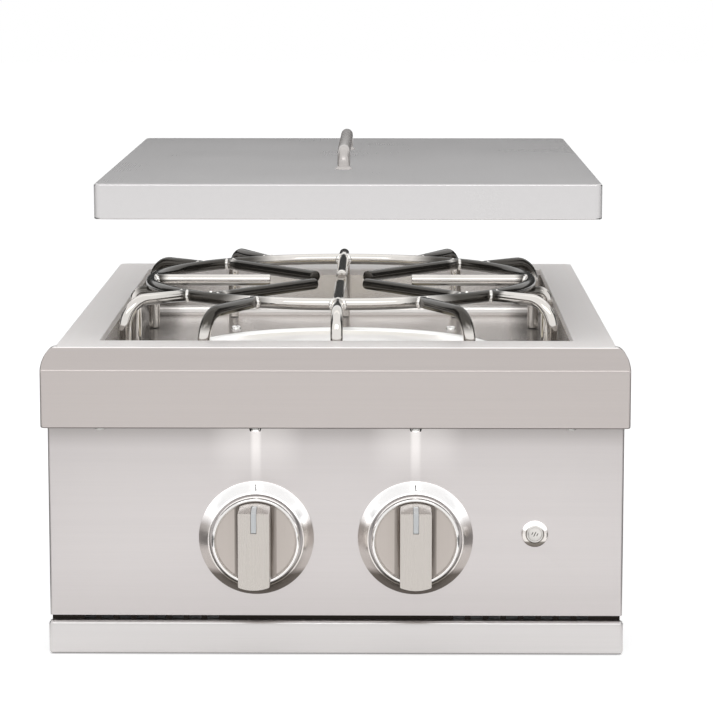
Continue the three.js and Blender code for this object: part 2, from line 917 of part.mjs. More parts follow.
function makeModule() {
  const bore = buttonLength - buttonRise + pushTravel + gap;
  const body = facing(disc(moduleRadius, moduleLength), buttonX, moduleBack(), buttonZ);
  const well = facing(disc(buttonRadius + gap, bore + overrun), buttonX, panelSetback + bore, buttonZ);
  return cut(body, well);
}

// The high tension lead runs under the pan from the module to the electrode.
function makeLead() {
  const start = moduleBack() + gap;
  const level = bowlBottom - leadDrop;
  const rise = start + leadDrop;
  return tube(bentStations([
    at(buttonX, start, buttonZ), at(buttonX, rise, buttonZ), at(buttonX, rise, level),
    at(electrodeX(), centreY, level), at(electrodeX(), centreY, bowlBottom - gap),
  ], leadBend), leadRadius, rodSides);
}

function makeLamp(side) {
  const x = side * knobX;
  const top = lipBottom - gap;
  const back = panelSetback - gap;
  return block(x - lampWidth / 2, x + lampWidth / 2, back - lampDepth, back, top - lampHeight, top);
}

const model = new THREE.Group();
model.name = 'side_burner';
model.position.y = -middleY;

function add(name, geometry, finish) {
  const shape = closed(geometry);
  shape.computeVertexNormals();
  const mesh = new THREE.Mesh(shape, new THREE.MeshStandardMaterial(finishes[finish]));
  mesh.name = name;
  model.add(mesh);
}

add('lid_panel', makeLidPanel(), 'brushed');
add('lid_handle', makeLidHandle(), 'polished');
add('top_frame', makeTopFrame(), 'brushed');

add('grate_ring', makeGrateRing(), 'rodSteel');
const fingers = [
  ['right', 0, sideFingerTip], ['rear_right', diagonalAngle, fingerTip], ['rear', 90, fingerTip],
  ['rear_left', 180 - diagonalAngle, fingerTip], ['left', 180, sideFingerTip],
  ['front_left', 180 + diagonalAngle, fingerTip], ['front', 270, fingerTip],
  ['front_right', -diagonalAngle, fingerTip],
];
for (const [name, degrees, tip] of fingers) {
  add(`grate_finger_${name}`, makeFinger(degrees, tip), 'rodSteel');
}
for (const [end, y] of [['front', -1], ['rear', 1]]) {
  add(`grate_leg_${end}`, makeLeg(y * 90, 0, y * footCentre, legBend), 'rodSteel');
  for (const [hand, x] of [['left', -1], ['right', 1]]) {
    const turn = (angle) => (x > 0 ? y * angle : y * (180 - angle));
    add(`grate_leg_${end}_${hand}`,
      makeLeg(turn(innerLegAngle), x * footInnerX, y * footInnerY, legBend), 'rodSteel');
    add(`grate_corner_leg_${end}_${hand}`,
      makeLeg(turn(cornerLegAngle), x * footCornerX, y * footCornerY, legBend), 'rodSteel');
  }
}
add('grate_side_leg_left', makeSideLeg(-1), 'rodSteel');
add('grate_side_leg_right', makeSideLeg(1), 'rodSteel');

add('burner_pan', makeBurnerPan(), 'brushed');
add('burner_bowl', makeBurnerBowl(), 'polished');
add('burner_base', makeBurnerBase(), 'castIron');
add('outer_burner', makeOuterBurner(), 'castIron');
add('outer_burner_cap', makeOuterCap(), 'brass');
add('inner_burner', makeInnerBurner(), 'castIron');
add('inner_burner_cap', makeInnerCap(), 'brass');
add('electrode', makeElectrode(), 'ceramic');
add('outer_venturi', makeOuterVenturi(), 'galvanised');
add('inner_venturi', makeInnerVenturi(), 'galvanised');
add('gas_manifold', makeManifold(), 'galvanised');

add('body_shell', makeBodyShell(), 'galvanised');
add('back_panel', makeBackPanel(), 'galvanised');
add('front_panel', makeFrontPanel(), 'brushed');
add('vent_strip', makeVentStrip(), 'brushed');
add('bottom_rail', makeBottomRail(), 'brushed');

for (const [hand, side] of [['left', -1], ['right', 1]]) {
  add(`gas_valve_${hand}`, makeValve(side), 'brass');
  add(`valve_stem_${hand}`, makeStem(side), 'brass');
  add(`stem_collar_${hand}`, makeCollar(side), 'galvanised');
  add(`knob_bezel_${hand}`, makeBezel(side), 'polished');
  add(`knob_${hand}`, makeKnob(side), 'satin');
  add(`knob_pointer_${hand}`, makePointer(side), 'clear');
  add(`panel_lamp_${hand}`, makeLamp(side), 'blackPlastic');
  add(`lip_screw_${hand}`, makeLipScrew(side), 'galvanised');
}

add('button_bezel', makeButtonBezel(), 'polished');
add('igniter_button', makeButton(), 'satin');
add('igniter_module', makeModule(), 'blackPlastic');
add('ignition_lead', makeLead(), 'blackPlastic');

export default model;
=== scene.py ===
"""A built-in side burner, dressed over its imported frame.

Sizes are millimetres, counted from the front face of the lip (depth) and from the
underside of the base (height), as in the part's source. Form.piece turns them into
metres in the frame's own place. Finishes and studio are in metres of the frame.
"""

import logging
import math
from dataclasses import dataclass
from enum import Enum
from typing import Callable, ClassVar, Iterable, Mapping, Sequence, Union

import bmesh
import bpy
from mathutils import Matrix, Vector


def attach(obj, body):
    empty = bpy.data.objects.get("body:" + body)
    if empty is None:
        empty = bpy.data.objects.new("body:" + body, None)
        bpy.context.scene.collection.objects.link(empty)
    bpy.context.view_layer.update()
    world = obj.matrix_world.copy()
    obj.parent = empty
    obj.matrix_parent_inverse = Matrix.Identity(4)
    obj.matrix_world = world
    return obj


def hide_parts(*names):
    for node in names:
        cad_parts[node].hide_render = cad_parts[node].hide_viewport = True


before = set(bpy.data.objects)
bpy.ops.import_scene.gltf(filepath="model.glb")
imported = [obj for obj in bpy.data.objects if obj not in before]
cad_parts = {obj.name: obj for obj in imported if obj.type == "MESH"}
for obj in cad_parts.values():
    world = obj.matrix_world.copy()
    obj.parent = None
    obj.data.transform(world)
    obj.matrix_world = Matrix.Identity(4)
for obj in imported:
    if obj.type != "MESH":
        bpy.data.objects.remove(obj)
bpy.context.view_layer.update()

Point = tuple[float, float, float]
Pair = tuple[float, float]
Colour = tuple[float, float, float]
Profile = Sequence[Pair]

LOG = logging.getLogger("side_burner")
WELL = (0.0, 258.0)  # middle of opening, grate and bowl, in millimetres
MIDDLE_Y = 244.5  # depth of the frame's origin behind the lip, in millimetres
METRE = 1000  # in millimetres
CRISP = 33.0  # degrees from which an edge stays crisp
SAME_PLACE = 2e-6  # metres within which two corners are one
HANDS = (("left", -1), ("right", 1))
NO_LIGHT: Colour = (0.0, 0.0, 0.0)
WHITE: Colour = (1.0, 1.0, 1.0)


def written(red: int, green: int, blue: int) -> Colour:
    """Turn a colour as a screen shows it into the linear values of a shader.

    Args:
        red: Red, 0 to 255.
        green: Green, 0 to 255.
        blue: Blue, 0 to 255.

    Returns:
        The same colour in linear values.
    """
    values = []
    for part in (red, green, blue):
        share = part / 255
        values.append(share / 12.92 if share <= 0.04045 else ((share + 0.055) / 1.055) ** 2.4)
    return tuple(values)


# ---------------------------------------------------------------- node trees


class Wire:
    """One output socket of a node tree, which can be calculated with."""

    def __init__(self, bench: "Bench", socket: bpy.types.NodeSocket) -> None:
        """Keep an output socket and the bench that its tree is on."""
        self.bench = bench
        self.socket = socket

    def _math(self, operation: str, *terms: "Term") -> "Wire":
        """Give the result of a Math node on values or links."""
        inputs = dict(enumerate(terms))
        return self.bench.node("ShaderNodeMath", {"operation": operation}, inputs)[0]

    def __add__(self, other: "Term") -> "Wire":
        """Add."""
        return self._math("ADD", self, other)

    def __radd__(self, other: "Term") -> "Wire":
        """Add to a number."""
        return self._math("ADD", other, self)

    def __sub__(self, other: "Term") -> "Wire":
        """Subtract."""
        return self._math("SUBTRACT", self, other)

    def __rsub__(self, other: "Term") -> "Wire":
        """Subtract from a number."""
        return self._math("SUBTRACT", other, self)

    def __mul__(self, other: "Term") -> "Wire":
        """Multiply."""
        return self._math("MULTIPLY", self, other)

    def __rmul__(self, other: "Term") -> "Wire":
        """Multiply a number."""
        return self._math("MULTIPLY", other, self)

    def __truediv__(self, other: "Term") -> "Wire":
        """Divide."""
        return self._math("DIVIDE", self, other)

    def __pow__(self, other: "Term") -> "Wire":
        """Raise to a power."""
        return self._math("POWER", self, other)

    def most(self, other: "Term") -> "Wire":
        """Take the larger of the two."""
        return self._math("MAXIMUM", self, other)

    def size(self) -> "Wire":
        """Take the value without its sign."""
        return (self * self) ** 0.5

    def ramp(self, low: float, high: float) -> "Wire":
        """Rise smoothly from 0 at the low value to 1 at the high one."""
        settings = {"interpolation_type": "SMOOTHSTEP"}
        inputs = {"Value": self, "From Min": low, "From Max": high}
        return self.bench.node("ShaderNodeMapRange", settings, inputs)["Result"]

    def within(self, *ramps: Pair) -> "Wire":
        """Multiply several ramps, such as a rise and a fall."""
        first, *others = (self.ramp(*pair) for pair in ramps)
        return math.prod(others, start=first)


Term = Union[float, Wire]
Socket = Union[float, Sequence[float], Wire]


class Made:
    """A node that has been added, whose outputs are taken by name or number."""

    def __init__(self, bench: "Bench", node: bpy.types.Node) -> None:
        """Keep the node and the bench that its tree is on."""
        self.bench = bench
        self.node = node

    def __getitem__(self, key: Union[int, str]) -> Wire:
        """Give one output."""
        return Wire(self.bench, self.node.outputs[key])


class Bench:
    """A node tree and the ways to add to it."""

    def __init__(self, tree: bpy.types.NodeTree) -> None:
        """Empty the tree of a material or of the world."""
        self.tree = tree
        tree.nodes.clear()

    def node(
        self,
        kind: str,
        settings: Mapping[str, object] | None = None,
        inputs: Mapping[Union[int, str], Socket] | None = None,
    ) -> Made:
        """Add a node.

        Args:
            kind: The node's type.
            settings: Its settings, which are set first; stops are a ramp's (place, colour) pairs.
            inputs: Values or links for its sockets.

        Returns:
            The new node.
        """
        made = self.tree.nodes.new(kind)
        for key, value in (settings or {}).items():
            if key == "stops":
                self._set_stops(made.color_ramp, value)
            else:
                setattr(made, key, value)
        for key, value in (inputs or {}).items():
            if isinstance(value, Wire):
                self.tree.links.new(value.socket, made.inputs[key])
            elif made.inputs[key].type == "RGBA":
                made.inputs[key].default_value = (*value[:3], 1.0)
            else:
                made.inputs[key].default_value = value
        return Made(self, made)

    @staticmethod
    def _set_stops(ramp: bpy.types.ColorRamp, stops: Sequence[tuple[float, Colour]]) -> None:
        """Set place and colour of each stop of a ramp.

        Args:
            ramp: The ramp of a Color Ramp node.
            stops: Place and colour of each stop.
        """
        while len(ramp.elements) < len(stops):
            ramp.elements.new(1.0)
        for element, (place, colour) in zip(ramp.elements, stops):
            element.position = place
            element.color = (*colour, 1.0)

    def place(self, stretch: Point = (1.0, 1.0, 1.0)) -> Wire:
        """Give the place on the object in metres, stretched along each axis."""
        inputs = {0: self.node("ShaderNodeTexCoord")["Object"], 1: stretch}
        return self.node("ShaderNodeVectorMath", {"operation": "MULTIPLY"}, inputs)["Vector"]

    def noise(
        self, waves: Union[float, Point], detail: float = 2.0, rough: float = 0.5
    ) -> Wire:
        """Give an even noise between 0 and 1.

        Args:
            waves: Waves per metre, one number or along X, Y and Z.
            detail: Octaves of finer noise.
            rough: Strength of each finer octave.

        Returns:
            The noise.
        """
        stretch = waves if isinstance(waves, tuple) else (waves, waves, waves)
        inputs = {"Vector": self.place(stretch), "Scale": 1.0, "Detail": detail, "Roughness": rough}
        return self.node("ShaderNodeTexNoise", {"noise_dimensions": "3D"}, inputs)["Fac"]

    def rise(self) -> Wire:
        """Give how far a surface looks up: 1 up, 0 sideways, -1 down."""
        normal = self.node("ShaderNodeNewGeometry")["Normal"]
        return self.node("ShaderNodeSeparateXYZ", None, {0: normal})["Z"]

    def axes(self) -> tuple[Wire, Wire, Wire]:
        """Give the place along X, Y and Z, in metres."""
        parts = self.node("ShaderNodeSeparateXYZ", None, {0: self.place()})
        return parts["X"], parts["Y"], parts["Z"]

    def mix(self, share: Term, first: Socket, second: Socket) -> Wire:
        """Mix two colours by the share of the second one."""
        inputs = {0: share, 6: first, 7: second}
        return self.node("ShaderNodeMix", {"data_type": "RGBA"}, inputs)[2]

    def bump(self, height: Wire, depth: float, strength: float) -> Wire:
        """Give the normal of a relief from 0 to 1, whose depth is in millimetres."""
        inputs = {"Height": height, "Distance": depth / METRE, "Strength": strength}
        return self.node("ShaderNodeBump", None, inputs)["Normal"]


# ---------------------------------------------------------------- finishes


def fresh_material(title: str) -> tuple[bpy.types.Material, Bench]:
    """Make a material and the bench for its tree.

    Args:
        title: The material's name.

    Returns:
        The material and the bench.
    """
    made = bpy.data.materials.new(title)
    made.use_nodes = True
    return made, Bench(made.node_tree)


class Grain(Enum):
    """The way in which a sheet was brushed, as noise waves per metre."""

    ACROSS = (9.0, 1500.0, 1500.0)
    DEEP = (1500.0, 9.0, 1500.0)
    UP = (1500.0, 1500.0, 12.0)

    def coarse(self) -> Point:
        """Give the waves of the broader streaks."""
        return tuple(max(wave / 6, 3.0) for wave in self.value)


@dataclass(frozen=True)
class Finish:
    """A surface finish, made into one material when it is first used."""

    metal: ClassVar[bool] = True
    tint: ClassVar[Pair] = (1.0, 1.0)

    name: str
    colour: Colour
    roughness: float

    def material(self) -> bpy.types.Material:
        """Give the finish's material, made once."""
        title = f"finish_{self.name}"
        found = bpy.data.materials.get(title)
        if found is not None:
            return found
        made, bench = fresh_material(title)
        shader = bench.node("ShaderNodeBsdfPrincipled", None, self.sockets(bench))
        bench.node("ShaderNodeOutputMaterial", None, {"Surface": shader["BSDF"]})
        made.diffuse_color = (*self.colour, 1.0)
        made.roughness = self.roughness
        made.metallic = float(self.metal)
        return made

    def shade(self, factor: float) -> Colour:
        """Give the finish's colour, lighter or darker."""
        return tuple(min(part * factor, 1.0) for part in self.colour)

    def tinted(self, bench: Bench, share: Term) -> Wire:
        """Mix the first and the second tint of the finish's colour."""
        first, second = self.tint
        return bench.mix(share, self.shade(first), self.shade(second))

    def sockets(self, bench: Bench) -> dict[str, Socket]:
        """Give the shader's inputs.

        Args:
            bench: The material's tree.

        Returns:
            Values and links by socket name.
        """
        raise NotImplementedError


@dataclass(frozen=True)
class BrushedSteel(Finish):
    """Stainless sheet with a fine directional brush, faintly cloudy from handling."""

    cloud_waves: ClassVar[float] = 7.0
    weights: ClassVar[Point] = (0.45, 0.3, 0.25)
    contrast: ClassVar[Pair] = (0.3, 0.7)
    groove: ClassVar[float] = 0.012

    grain: Grain = Grain.ACROSS
    streak: float = 0.05
    relief: float = 0.3
    mirror: float = 1.0
    waver: float = 0.1

    def sockets(self, bench: Bench) -> dict[str, Socket]:
        """Give the shader's inputs.

        Args:
            bench: The material's tree.

        Returns:
            Values and links by socket name.
        """
        fine = bench.noise(self.grain.value, 3.0, 0.6)
        broad = bench.noise(self.grain.coarse())
        cloud = bench.noise(self.cloud_waves)
        tone = sum(part * weight for part, weight in zip((fine, broad, cloud), self.weights))
        dark, light = self.shade(1 - self.streak), self.shade(1 + self.streak)
        return {
            "Base Color": bench.mix(tone.ramp(*self.contrast), dark, light),
            "Metallic": self.mirror,
            "Roughness": self.roughness + (fine - 0.5) * self.waver + (cloud - 0.5) * 0.05,
            "Normal": bench.bump(fine, self.groove, self.relief),
        }


@dataclass(frozen=True)
class FoldedSteel(BrushedSteel):
    """Brushed sheet with a painted highlight (a lighter colour plus emission) along its top fold
    and painted shade along its hem.
    """

    # crest: height band of the painted highlight; hem: height band of the painted shade
    crest: Pair = (0.2112, 0.2118)
    hem: Pair = (0.1602, 0.1594)
    shaded: Colour = written(70, 66, 63)
    bright: Colour = written(252, 249, 247)
    glow: Colour = (0.1, 0.097, 0.095)

    def sockets(self, bench: Bench) -> dict[str, Socket]:
        """Give the shader's inputs.

        Args:
            bench: The material's tree.

        Returns:
            Values and links by socket name.
        """
        inputs = super().sockets(bench)
        _, _, z = bench.axes()
        # painted shade darkens the hem band; a painted highlight and emission light up the crest
        # band
        shaded = bench.mix(z.ramp(*self.hem) * 0.85, inputs["Base Color"], self.shaded)
        crest = z.ramp(*self.crest)
        inputs["Base Color"] = bench.mix(crest, shaded, self.bright)
        inputs["Emission Color"] = bench.mix(crest, NO_LIGHT, self.glow)
        inputs["Emission Strength"] = 1.0
        return inputs


@dataclass(frozen=True)
class PaintedLampLightSteel(BrushedSteel):
    """Brushed sheet with the light that two small lamps throw down it painted on as emission, and
    painted shade at its top under the lip and towards its bottom.

    Line and halo are the reach and the level of each lamp's painted light. Shades holds the start,
    the end and the level of each painted shadow.
    """

    lamps: Pair = (-0.054, 0.054)
    fall: Pair = (0.112, 0.157)
    line: Pair = (0.0042, 0.26)
    halo: Pair = (0.034, 0.16)
    shades: tuple[Point, ...] = ((0.14, 0.158, 0.42), (0.1, 0.15, 0.08), (0.07, 0.03, 0.1))
    shaded: Colour = (0.2, 0.18, 0.17)
    light: Colour = (1.0, 0.98, 0.95)

    def sockets(self, bench: Bench) -> dict[str, Socket]:
        """Give the shader's inputs.

        Args:
            bench: The material's tree.

        Returns:
            Values and links by socket name.
        """
        inputs = super().sockets(bench)
        x, _, z = bench.axes()
        fall = z.ramp(*self.fall)
        lit = []
        # painted light: a narrow streak and a wider halo of emission below each lamp
        for lamp in self.lamps:
            aside = (x - lamp) * (x - lamp)
            for (reach, level), strength in ((self.line, fall ** 0.7), (self.halo, fall)):
                lit.append(aside.ramp(reach ** 2, 0.0) * strength * level)
        # painted shade: darker under the lip, over the upper part and towards the bottom
        shade = sum(z.ramp(start, end) * level for start, end, level in self.shades)
        inputs["Base Color"] = bench.mix(shade, inputs["Base Color"], self.shaded)
        inputs["Emission Color"] = bench.mix(sum(lit), NO_LIGHT, self.light)
        inputs["Emission Strength"] = 1.0
        return inputs


@dataclass(frozen=True)
class PolishedSteel(Finish):
    """Bright polished stainless with faint wiping marks."""

    tint: ClassVar[Pair] = (0.97, 1.02)
    wiping: ClassVar[Point] = (60.0, 25.0, 60.0)

    mirror: float = 1.0

    def sockets(self, bench: Bench) -> dict[str, Socket]:
        """Give the shader's inputs.

        Args:
            bench: The material's tree.

        Returns:
            Values and links by socket name.
        """
        wiped = bench.noise(self.wiping, 4.0, 0.6)
        haze = bench.noise(18.0, 2.0)
        return {
            "Base Color": self.tinted(bench, haze),
            "Metallic": self.mirror,
            "Roughness": self.roughness + wiped * 0.07,
            "Normal": bench.bump(wiped, 0.01, 0.2),
        }


@dataclass(frozen=True)
class BowlSteel(PolishedSteel):
    """Polished bowl with painted light inside it as emission and a painted shadow line round its
    rim.
    """

    middle: float = 0.0135
    # seam: radius band of the painted shadow line round the rim; light and glow: the painted light
    # inside it
    seam: Pair = (0.1175, 0.121)
    shaded: Colour = written(70, 66, 61)
    light: Colour = (1.0, 0.99, 0.98)
    glow: float = 0.4

    def sockets(self, bench: Bench) -> dict[str, Socket]:
        """Give the shader's inputs.

        Args:
            bench: The material's tree.

        Returns:
            Values and links by socket name.
        """
        inputs = super().sockets(bench)
        x, depth, _ = bench.axes()
        y = depth - self.middle
        reach = (x * x + y * y) ** 0.5
        # painted shadow: a dark ring at the rim; painted light: emission everywhere inside that
        # ring
        seam = reach.ramp(*self.seam)
        inputs["Base Color"] = bench.mix(seam * 0.9, inputs["Base Color"], self.shaded)
        inputs["Emission Color"] = bench.mix(seam, self.light, NO_LIGHT)
        inputs["Emission Strength"] = self.glow
        return inputs


@dataclass(frozen=True)
class PanSteel(BrushedSteel):
    """Bright sheet of the pan, with painted shade along its sides."""

    side: Pair = (0.128, 0.15)
    shaded: Colour = written(84, 78, 71)

    def sockets(self, bench: Bench) -> dict[str, Socket]:
        """Give the shader's inputs.

        Args:
            bench: The material's tree.

        Returns:
            Values and links by socket name.
        """
        inputs = super().sockets(bench)
        x, _, _ = bench.axes()
        patch = bench.noise((30.0, 8.0, 30.0), 2.0)
        # painted shade: darker towards the left and right sides, with an uneven edge
        dark = (x.size() + (patch - 0.5) * 0.02).ramp(*self.side) * 0.62
        inputs["Base Color"] = bench.mix(dark, inputs["Base Color"], self.shaded)
        return inputs


@dataclass(frozen=True)
class RodSteel(Finish):
    """Drawn and polished rod, with painted dark reflections on the ring's sides and rear and on the
    slanted rods and legs, and painted shade on its undersides.

    The ramps are distances in metres: aside and along from the grate's middle, reach as the
    radius round it.
    """

    # painted_dark: colour of the painted dark reflections and the painted underside shade
    painted_dark: Colour = (0.032, 0.027, 0.02)
    middle: float = 0.0135
    hoop_reach: tuple[Pair, ...] = ((0.128, 0.136), (0.156, 0.15))
    hoop_aside: Pair = (0.05, 0.075)
    hoop_front: Pair = (-0.134, -0.118)
    slant: Pair = (0.006, 0.013)
    finger_reach: Pair = (0.134, 0.124)
    leg_aside: tuple[Pair, ...] = ((0.045, 0.06), (0.105, 0.09))
    leg_along: Pair = (0.125, 0.138)
    corner_aside: Pair = (0.085, 0.095)
    corner_rear: Pair = (0.07, 0.09)
    corner_reach: Pair = (0.142, 0.15)
    level: Pair = (0.214, 0.222)

    def sockets(self, bench: Bench) -> dict[str, Socket]:
        """Give the shader's inputs.

        Args:
            bench: The material's tree.

        Returns:
            Values and links by socket name.
        """
        patch = bench.noise(16.0, 3.0)
        drawn = bench.noise(260.0, 2.0)
        x, depth, z = bench.axes()
        y = depth - self.middle
        aside, along = x.size(), y.size()
        reach = (x * x + y * y) ** 0.5 + (patch - 0.5) * 0.016
        # painted dark reflection: masks for the ring's sides and rear, the slanted rods, some legs
        # and the corner legs, at grate level
        hoop = aside.ramp(*self.hoop_aside) * y.ramp(*self.hoop_front)
        slanted = aside.ramp(*self.slant) * along.ramp(*self.slant)
        corners = aside.ramp(*self.corner_aside) * y.ramp(*self.corner_rear)
        dark_reflection = hoop * reach.within(*self.hoop_reach)
        dark_reflection = dark_reflection.most(slanted * reach.ramp(*self.finger_reach))
        dark_reflection = dark_reflection.most(aside.within(*self.leg_aside) * along.ramp(*self.leg_along))
        dark_reflection = dark_reflection.most(corners * reach.ramp(*self.corner_reach))
        # painted shade on the rods' undersides
        under = bench.rise().ramp(-0.1, -0.65) * 0.8
        # share mixes the painted dark reflection, the painted underside shade and random darker
        # patches
        share = (dark_reflection * z.ramp(*self.level)).most(under).most(patch.ramp(0.45, 0.8) * 0.25) * 0.94
        return {
            "Base Color": bench.mix(share, self.colour, self.painted_dark),
            "Metallic": 1.0 - share * 0.35,
            "Roughness": self.roughness + drawn * 0.06 + share * 0.04,
            "Normal": bench.bump(drawn, 0.03, 0.25),
        }


@dataclass(frozen=True)
class ConeSteel(PolishedSteel):
    """Turned bright cone with painted reflections in bands, dark at the bottom and white at the
    top, and painted lamp light as emission on its upper side.
    """

    middle: float = 0.08
    reach: float = 0.039
    # lit: share of the height over which the painted lamp light rises; light: its colour
    lit: Pair = (0.6, 0.8)
    light: Colour = (0.8, 0.8, 0.8)
    painted_reflection_bands: ClassVar[tuple[tuple[float, Colour], ...]] = (
        (0.05, written(112, 106, 99)), (0.19, written(120, 114, 107)),
        (0.25, written(222, 217, 212)), (0.48, written(226, 221, 217)),
        (0.62, written(210, 205, 201)), (0.68, written(236, 234, 233)),
        (0.74, written(252, 252, 252)),
    )

    def sockets(self, bench: Bench) -> dict[str, Socket]:
        """Give the shader's inputs.

        Args:
            bench: The material's tree.

        Returns:
            Values and links by socket name.
        """
        inputs = super().sockets(bench)
        _, _, z = bench.axes()
        share = (z - (self.middle - self.reach)) / (2 * self.reach)
        # painted reflections: colour bands by height, dark at the bottom, grey on the flanks, white
        # at the top
        banded = bench.node("ShaderNodeValToRGB", {"stops": self.painted_reflection_bands}, {0: share})
        inputs["Base Color"] = banded["Color"]
        # painted light: emission on the upper side
        inputs["Emission Color"] = bench.mix(share.ramp(*self.lit), NO_LIGHT, self.light)
        inputs["Emission Strength"] = 1.0
        return inputs


@dataclass(frozen=True)
class PlatedSteel(Finish):
    """Zinc coated sheet with its crystal pattern."""

    tint: ClassVar[Pair] = (0.86, 1.08)
    crystals: ClassVar[float] = 95.0

    mirror: float = 0.6

    def sockets(self, bench: Bench) -> dict[str, Socket]:
        """Give the shader's inputs.

        Args:
            bench: The material's tree.

        Returns:
            Values and links by socket name.
        """
        inputs = {"Vector": bench.place(), "Scale": self.crystals, "Randomness": 1.0}
        crystal = bench.node("ShaderNodeTexVoronoi", {"feature": "F1"}, inputs)
        shine = bench.node("ShaderNodeSeparateColor", None, {0: crystal["Color"]})["Red"]
        dust = bench.noise(30.0, 3.0)
        return {
            "Base Color": self.tinted(bench, shine * 0.7 + dust * 0.3),
            "Metallic": self.mirror,
            "Roughness": self.roughness + (shine - 0.5) * 0.16,
            "Normal": bench.bump(dust, 0.02, 0.3),
        }


@dataclass(frozen=True)
class CastMetal(Finish):
    """Sand cast metal with a grainy skin, as burner bodies have."""

    tint: ClassVar[Pair] = (0.75, 1.25)

    metallic: float = 0.7
    grit: float = 0.12

    def sockets(self, bench: Bench) -> dict[str, Socket]:
        """Give the shader's inputs.

        Args:
            bench: The material's tree.

        Returns:
            Values and links by socket name.
        """
        grit = bench.noise(900.0, 3.0, 0.65)
        stain = bench.noise(35.0, 3.0)
        return {
            "Base Color": self.tinted(bench, stain),
            "Metallic": self.metallic,
            "Roughness": self.roughness + (grit - 0.5) * 0.3,
            "Normal": bench.bump(grit, self.grit, 0.6),
        }


@dataclass(frozen=True)
class Plastic(Finish):
    """Moulded plastic with a fine spark-eroded skin."""

    metal: ClassVar[bool] = False
    tint: ClassVar[Pair] = (0.85, 1.2)

    coat: float = 0.0

    def sockets(self, bench: Bench) -> dict[str, Socket]:
        """Give the shader's inputs.

        Args:
            bench: The material's tree.

        Returns:
            Values and links by socket name.
        """
        skin = bench.noise(2200.0, 2.0)
        wear = bench.noise(45.0, 3.0)
        return {
            "Base Color": self.tinted(bench, wear),
            "Roughness": self.roughness + (skin - 0.5) * 0.2,
            "Coat Weight": self.coat,
            "Normal": bench.bump(skin, 0.02, 0.5),
        }


@dataclass(frozen=True)
class ClearInsert(Finish):
    """Clear acrylic insert of a pointer."""

    metal: ClassVar[bool] = False
    tint: ClassVar[Pair] = (1.0, 1.06)
    clear: ClassVar[float] = 0.05
    bending: ClassVar[float] = 1.49

    def sockets(self, bench: Bench) -> dict[str, Socket]:
        """Give the shader's inputs.

        Args:
            bench: The material's tree.

        Returns:
            Values and links by socket name.
        """
        haze = bench.noise(300.0, 2.0)
        return {
            "Base Color": self.tinted(bench, haze),
            "Roughness": self.roughness + haze * 0.08,
            "Transmission Weight": self.clear,
            "IOR": self.bending,
            "Normal": bench.bump(haze, 0.02, 0.3),
        }


@dataclass(frozen=True)
class LitLens(Finish):
    """Frosted lens of a lamp that is on."""

    metal: ClassVar[bool] = False
    tint: ClassVar[Pair] = (0.9, 1.0)

    strength: float = 3.0

    def sockets(self, bench: Bench) -> dict[str, Socket]:
        """Give the shader's inputs.

        Args:
            bench: The material's tree.

        Returns:
            Values and links by socket name.
        """
        frost = bench.noise(900.0, 2.0)
        return {
            "Base Color": self.colour,
            "Roughness": self.roughness + (frost - 0.5) * 0.1,
            "Emission Color": self.tinted(bench, frost),
            "Emission Strength": self.strength,
        }


# painted lamp light and painted shade on the control panel
PANEL_STEEL = PaintedLampLightSteel(
    "brushed_panel_painted_light", written(204, 199, 198), 0.34, Grain.ACROSS, streak=0.02, relief=0.2
)
# painted shadow along the rail's bottom hem; its crest band sits above the rail, so the rail gets
# no painted highlight
RAIL_STEEL = FoldedSteel(
    "brushed_rail_painted_shadow", written(207, 204, 203), 0.32, Grain.ACROSS, streak=0.02,
    crest=(0.0235, 0.024), hem=(0.0013, 0.0005),
)
# painted highlight on the lip's top fold and painted shade along its bottom edge
FRAME_STEEL = FoldedSteel("brushed_frame_painted_light_and_shade", written(190, 183, 180), 0.32, Grain.ACROSS, 0.02)
# painted light: the flange gets a near-white colour, far lighter than the lip folded from the same
# sheet, to make up for the shade it lies in
LIGHTENED_FLANGE_STEEL = BrushedSteel(
    "brushed_flange_painted_light", written(255, 250, 248), 0.42, Grain.DEEP, streak=0.02, relief=0.15, mirror=0.1
)
LID_STEEL = BrushedSteel(
    "brushed_lid", written(212, 210, 210), 0.28, Grain.DEEP, streak=0.015, relief=0.02, waver=0.015
)
# painted shade along the pan's sides
PAN_STEEL = PanSteel(
    "polished_pan_painted_shade", written(240, 236, 233), 0.2, Grain.ACROSS, streak=0.03, mirror=0.75
)
# painted shade: the vent strip gets a near-black colour for the shadow it lies in
SHADED_STRIP_STEEL = BrushedSteel("shadowed_strip", written(44, 40, 37), 0.5, Grain.ACROSS)
KNOB_PLATE = BrushedSteel("satin_knob_plate", written(184, 176, 170), 0.3, Grain.UP, 0.02)
# painted shade: a darker copy of the knob's satin finish for the cove beside the grip bar
KNOB_COVE_SHADE = BrushedSteel("satin_knob_cove_painted_shade", written(150, 142, 136), 0.3, Grain.UP, 0.02)
KNOB_FACE = BrushedSteel(
    "satin_knob", written(200, 194, 188), 0.28, Grain.UP, streak=0.015, relief=0.15, mirror=0.75
)
BUTTON_FACE = BrushedSteel("satin_button", written(214, 211, 207), 0.3, Grain.UP, 0.04)
BRIGHT_STEEL = PolishedSteel("polished_steel", written(240, 238, 236), 0.07)
BAR_STEEL = PolishedSteel("polished_bar", written(204, 199, 196), 0.2, mirror=0.4)
WELD_STEEL = PolishedSteel("weld_bead", written(236, 233, 229), 0.2)
# painted reflections and painted lamp light on the knob bezels and the button ring
CONE_STEEL = ConeSteel("turned_cone_painted_reflection", written(240, 238, 236), 0.16)
RING_STEEL = ConeSteel("turned_ring_painted_reflection", written(240, 238, 236), 0.16, middle=0.083, reach=0.009)
# painted light inside the bowl and a painted shadow line round its rim
BOWL_STEEL = BowlSteel("polished_bowl_painted_light", written(254, 253, 252), 0.14, mirror=0.5)
